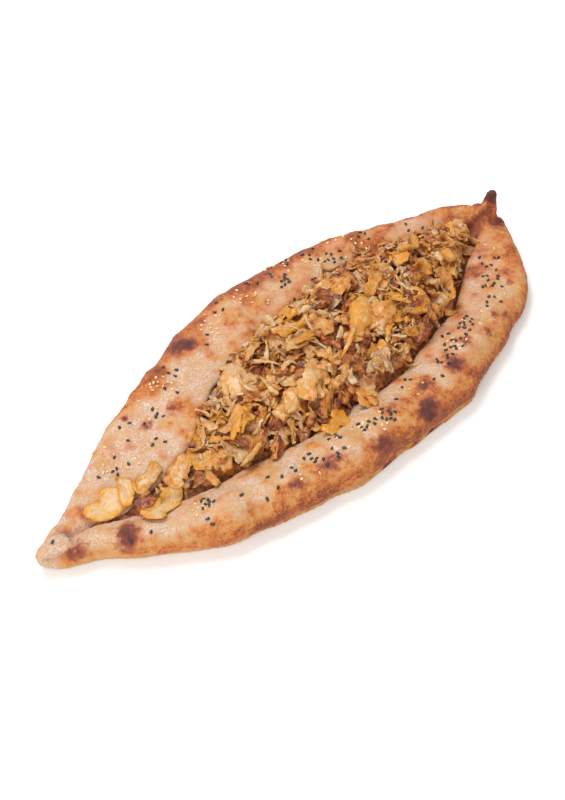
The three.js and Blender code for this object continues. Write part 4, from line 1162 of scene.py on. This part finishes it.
def make_base(surface):
    """The mince sauce along the well and the heap's dark core, both under what the shavings cover."""
    sauce, top = well_plate("mince_layer", SAUCE_TOP[0][0], SAUCE_TOP[-1][0],
                            lambda x, y: along(SAUCE_TOP, x) - 0.4, relief=1.3, seed=5.0, floor=5.2,
                            gap=0.3)
    stops = [(0.0, (92, 40, 20)), (0.45, (138, 68, 32)), (0.8, (170, 98, 46)), (1.0, (194, 128, 66))]
    dress(sauce, mince_material("mince_sauce", stops, 0.36), "sauce", "sauce_layer")
    surface.raise_to(top.reshape(-1, 3))
    core, top = well_plate("heap_depths", HEAP_TOP[0][0], HEAP_TOP[-1][0],
                           lambda x, y: np.maximum(core_top(x, y) - 8.5, 9.5), relief=1.6, seed=17.0,
                           floor=8.0, gap=1.5)
    stops = [(0.0, (78, 34, 16)), (0.5, (136, 70, 30)), (1.0, (186, 112, 48))]
    dress(core, mince_material("heap_depths", stops, 0.5), "shavings", "shavings_heap")
    surface.raise_to(top.reshape(-1, 3))


def make_heap(surface, roast, flesh):
    """The roasted lump, then the heap: shavings, bits of meat, what stands out and the trimmings."""
    rng = np.random.default_rng(11)
    lump = mesh_object("meat_lump_roast", *lump_arrays(rng, *MEAT_LUMP))
    dress(lump, roast, "meat", "meat_lump")
    surface.raise_to(points_of(lump.data))
    heap = Heap(surface, 42)
    fill_heap(heap)
    bits = mesh_object("meat_bits", *joined([lump_arrays(rng, *place) for place in MEAT_BITS]))
    dress(bits, roast, "shavings", "shavings_heap")
    surface.raise_to(points_of(bits.data))
    crown_heap(heap)
    scatter_trimmings(heap)
    for kind in sorted(heap.kinds):
        dress(heap.build(kind, "shavings_" + kind), flesh, "shavings", "shavings_heap")


def make_loose(surface, flesh):
    """The onion flakes and shavings that lie by themselves at the narrow end."""
    loose, onion = Heap(surface, 5), onion_material()
    for node, x, y, length, width, curl, yaw, roll, tone in LOOSE:
        piece = shaving(loose.rng, length, width, 0.7, curl, bend=1.6, twist=0.2, ragged=0.14, steps=30,
                        rows=16, limp=1.2, tears=1, blunt=0.5)
        tones = patchy(loose.rng, piece, tone, edge_tint=0.18, patches=2, depth=0.2)
        loose.lay(node, piece, tones, x, y, yaw, 0.05, roll, drape=0.6, clear=0.9)
        is_onion = node.startswith("onion")
        dress(loose.build(node, node + "_fine"), onion if is_onion else flesh,
              "onion" if is_onion else "shavings", node)


def make_seeds(tree, surface):
    rng = np.random.default_rng(3)
    for name, clusters, size, dark, light, roughness in (
            ("black_seed", BLACK_SEEDS, BLACK_SEED, (20, 20, 26), (46, 46, 58), 0.32),
            ("white_seed", WHITE_SEEDS, WHITE_SEED, (212, 170, 118), (234, 204, 156), 0.5)):
        seeds = scatter_seeds(name + "s", clusters, size, tree, surface, rng)
        dress(seeds, seed_material(name, linear(*dark), linear(*light), roughness), "crust", "dough_crust")


def make_food():
    loaf = make_dough()
    dress(loaf, crust_material(), "crust", "dough_crust")
    tree = BVHTree.FromObject(loaf, bpy.context.evaluated_depsgraph_get())
    surface = Surface(tree)
    make_base(surface)
    flesh = shaving_material()
    stops = [(0.0, (88, 36, 22)), (0.5, (140, 68, 38)), (1.0, (190, 120, 72))]
    roast = mince_material("roast_meat", stops, 0.32)
    make_heap(surface, roast, flesh)
    make_loose(surface, flesh)
    make_seeds(tree, surface)


# ---------- Floor, light and camera ----------
CAMERA = {"azimuth": -43.6, "elevation": 51.0, "distance": 750, "target": (-18.9, -2.0, 0), "lens": 51.98}


def away(azimuth, elevation):
    """The direction from the target towards a viewer: azimuth 0 stands on the -Y side."""
    a, e = math.radians(azimuth), math.radians(elevation)
    return Vector((math.sin(a) * math.cos(e), -math.cos(a) * math.cos(e), math.sin(e)))


def make_floor():
    reach, z = 4000, -0.2
    corners = [(-reach, -reach, z), (reach, -reach, z), (reach, reach, z), (-reach, reach, z)]
    floor = mesh_object("floor", corners, [(0, 1, 2, 3)])
    floor.data.materials.append(Paint("floor", Base_Color=linear(246, 245, 243), Roughness=0.9).material)


def make_light(name, azimuth, elevation, distance, size, power):
    data = bpy.data.lights.new(name, "AREA")
    data.size = size
    data.energy = power
    lamp = linked(name, data)
    lamp.location = away(azimuth, elevation) * distance
    lamp.rotation_euler = (math.radians(90 - elevation), 0, math.radians(azimuth))


def make_camera():
    data = bpy.data.cameras.new("camera")
    data.lens = CAMERA["lens"]
    data.sensor_width = 36
    data.clip_start = 0.01
    camera = linked("camera", data)
    back = away(CAMERA["azimuth"], CAMERA["elevation"])
    camera.location = (Vector(CAMERA["target"]) + back * CAMERA["distance"]) * MM
    camera.rotation_euler = (math.radians(90 - CAMERA["elevation"]), 0, math.radians(CAMERA["azimuth"]))
    bpy.context.scene.camera = camera


def make_world():
    world = bpy.data.worlds.new("studio")
    world.use_nodes = True
    world.node_tree.nodes["Background"].inputs["Color"].default_value = (1, 1, 1, 1)
    world.node_tree.nodes["Background"].inputs["Strength"].default_value = 0.6
    bpy.context.scene.world = world
    bpy.context.scene.view_settings.view_transform = "Standard"


make_food()
make_floor()
make_light("key", azimuth=172, elevation=60, distance=1.4, size=0.7, power=13.6)
make_light("fill", azimuth=-60, elevation=38, distance=1.6, size=1.4, power=18)
make_world()
make_camera()
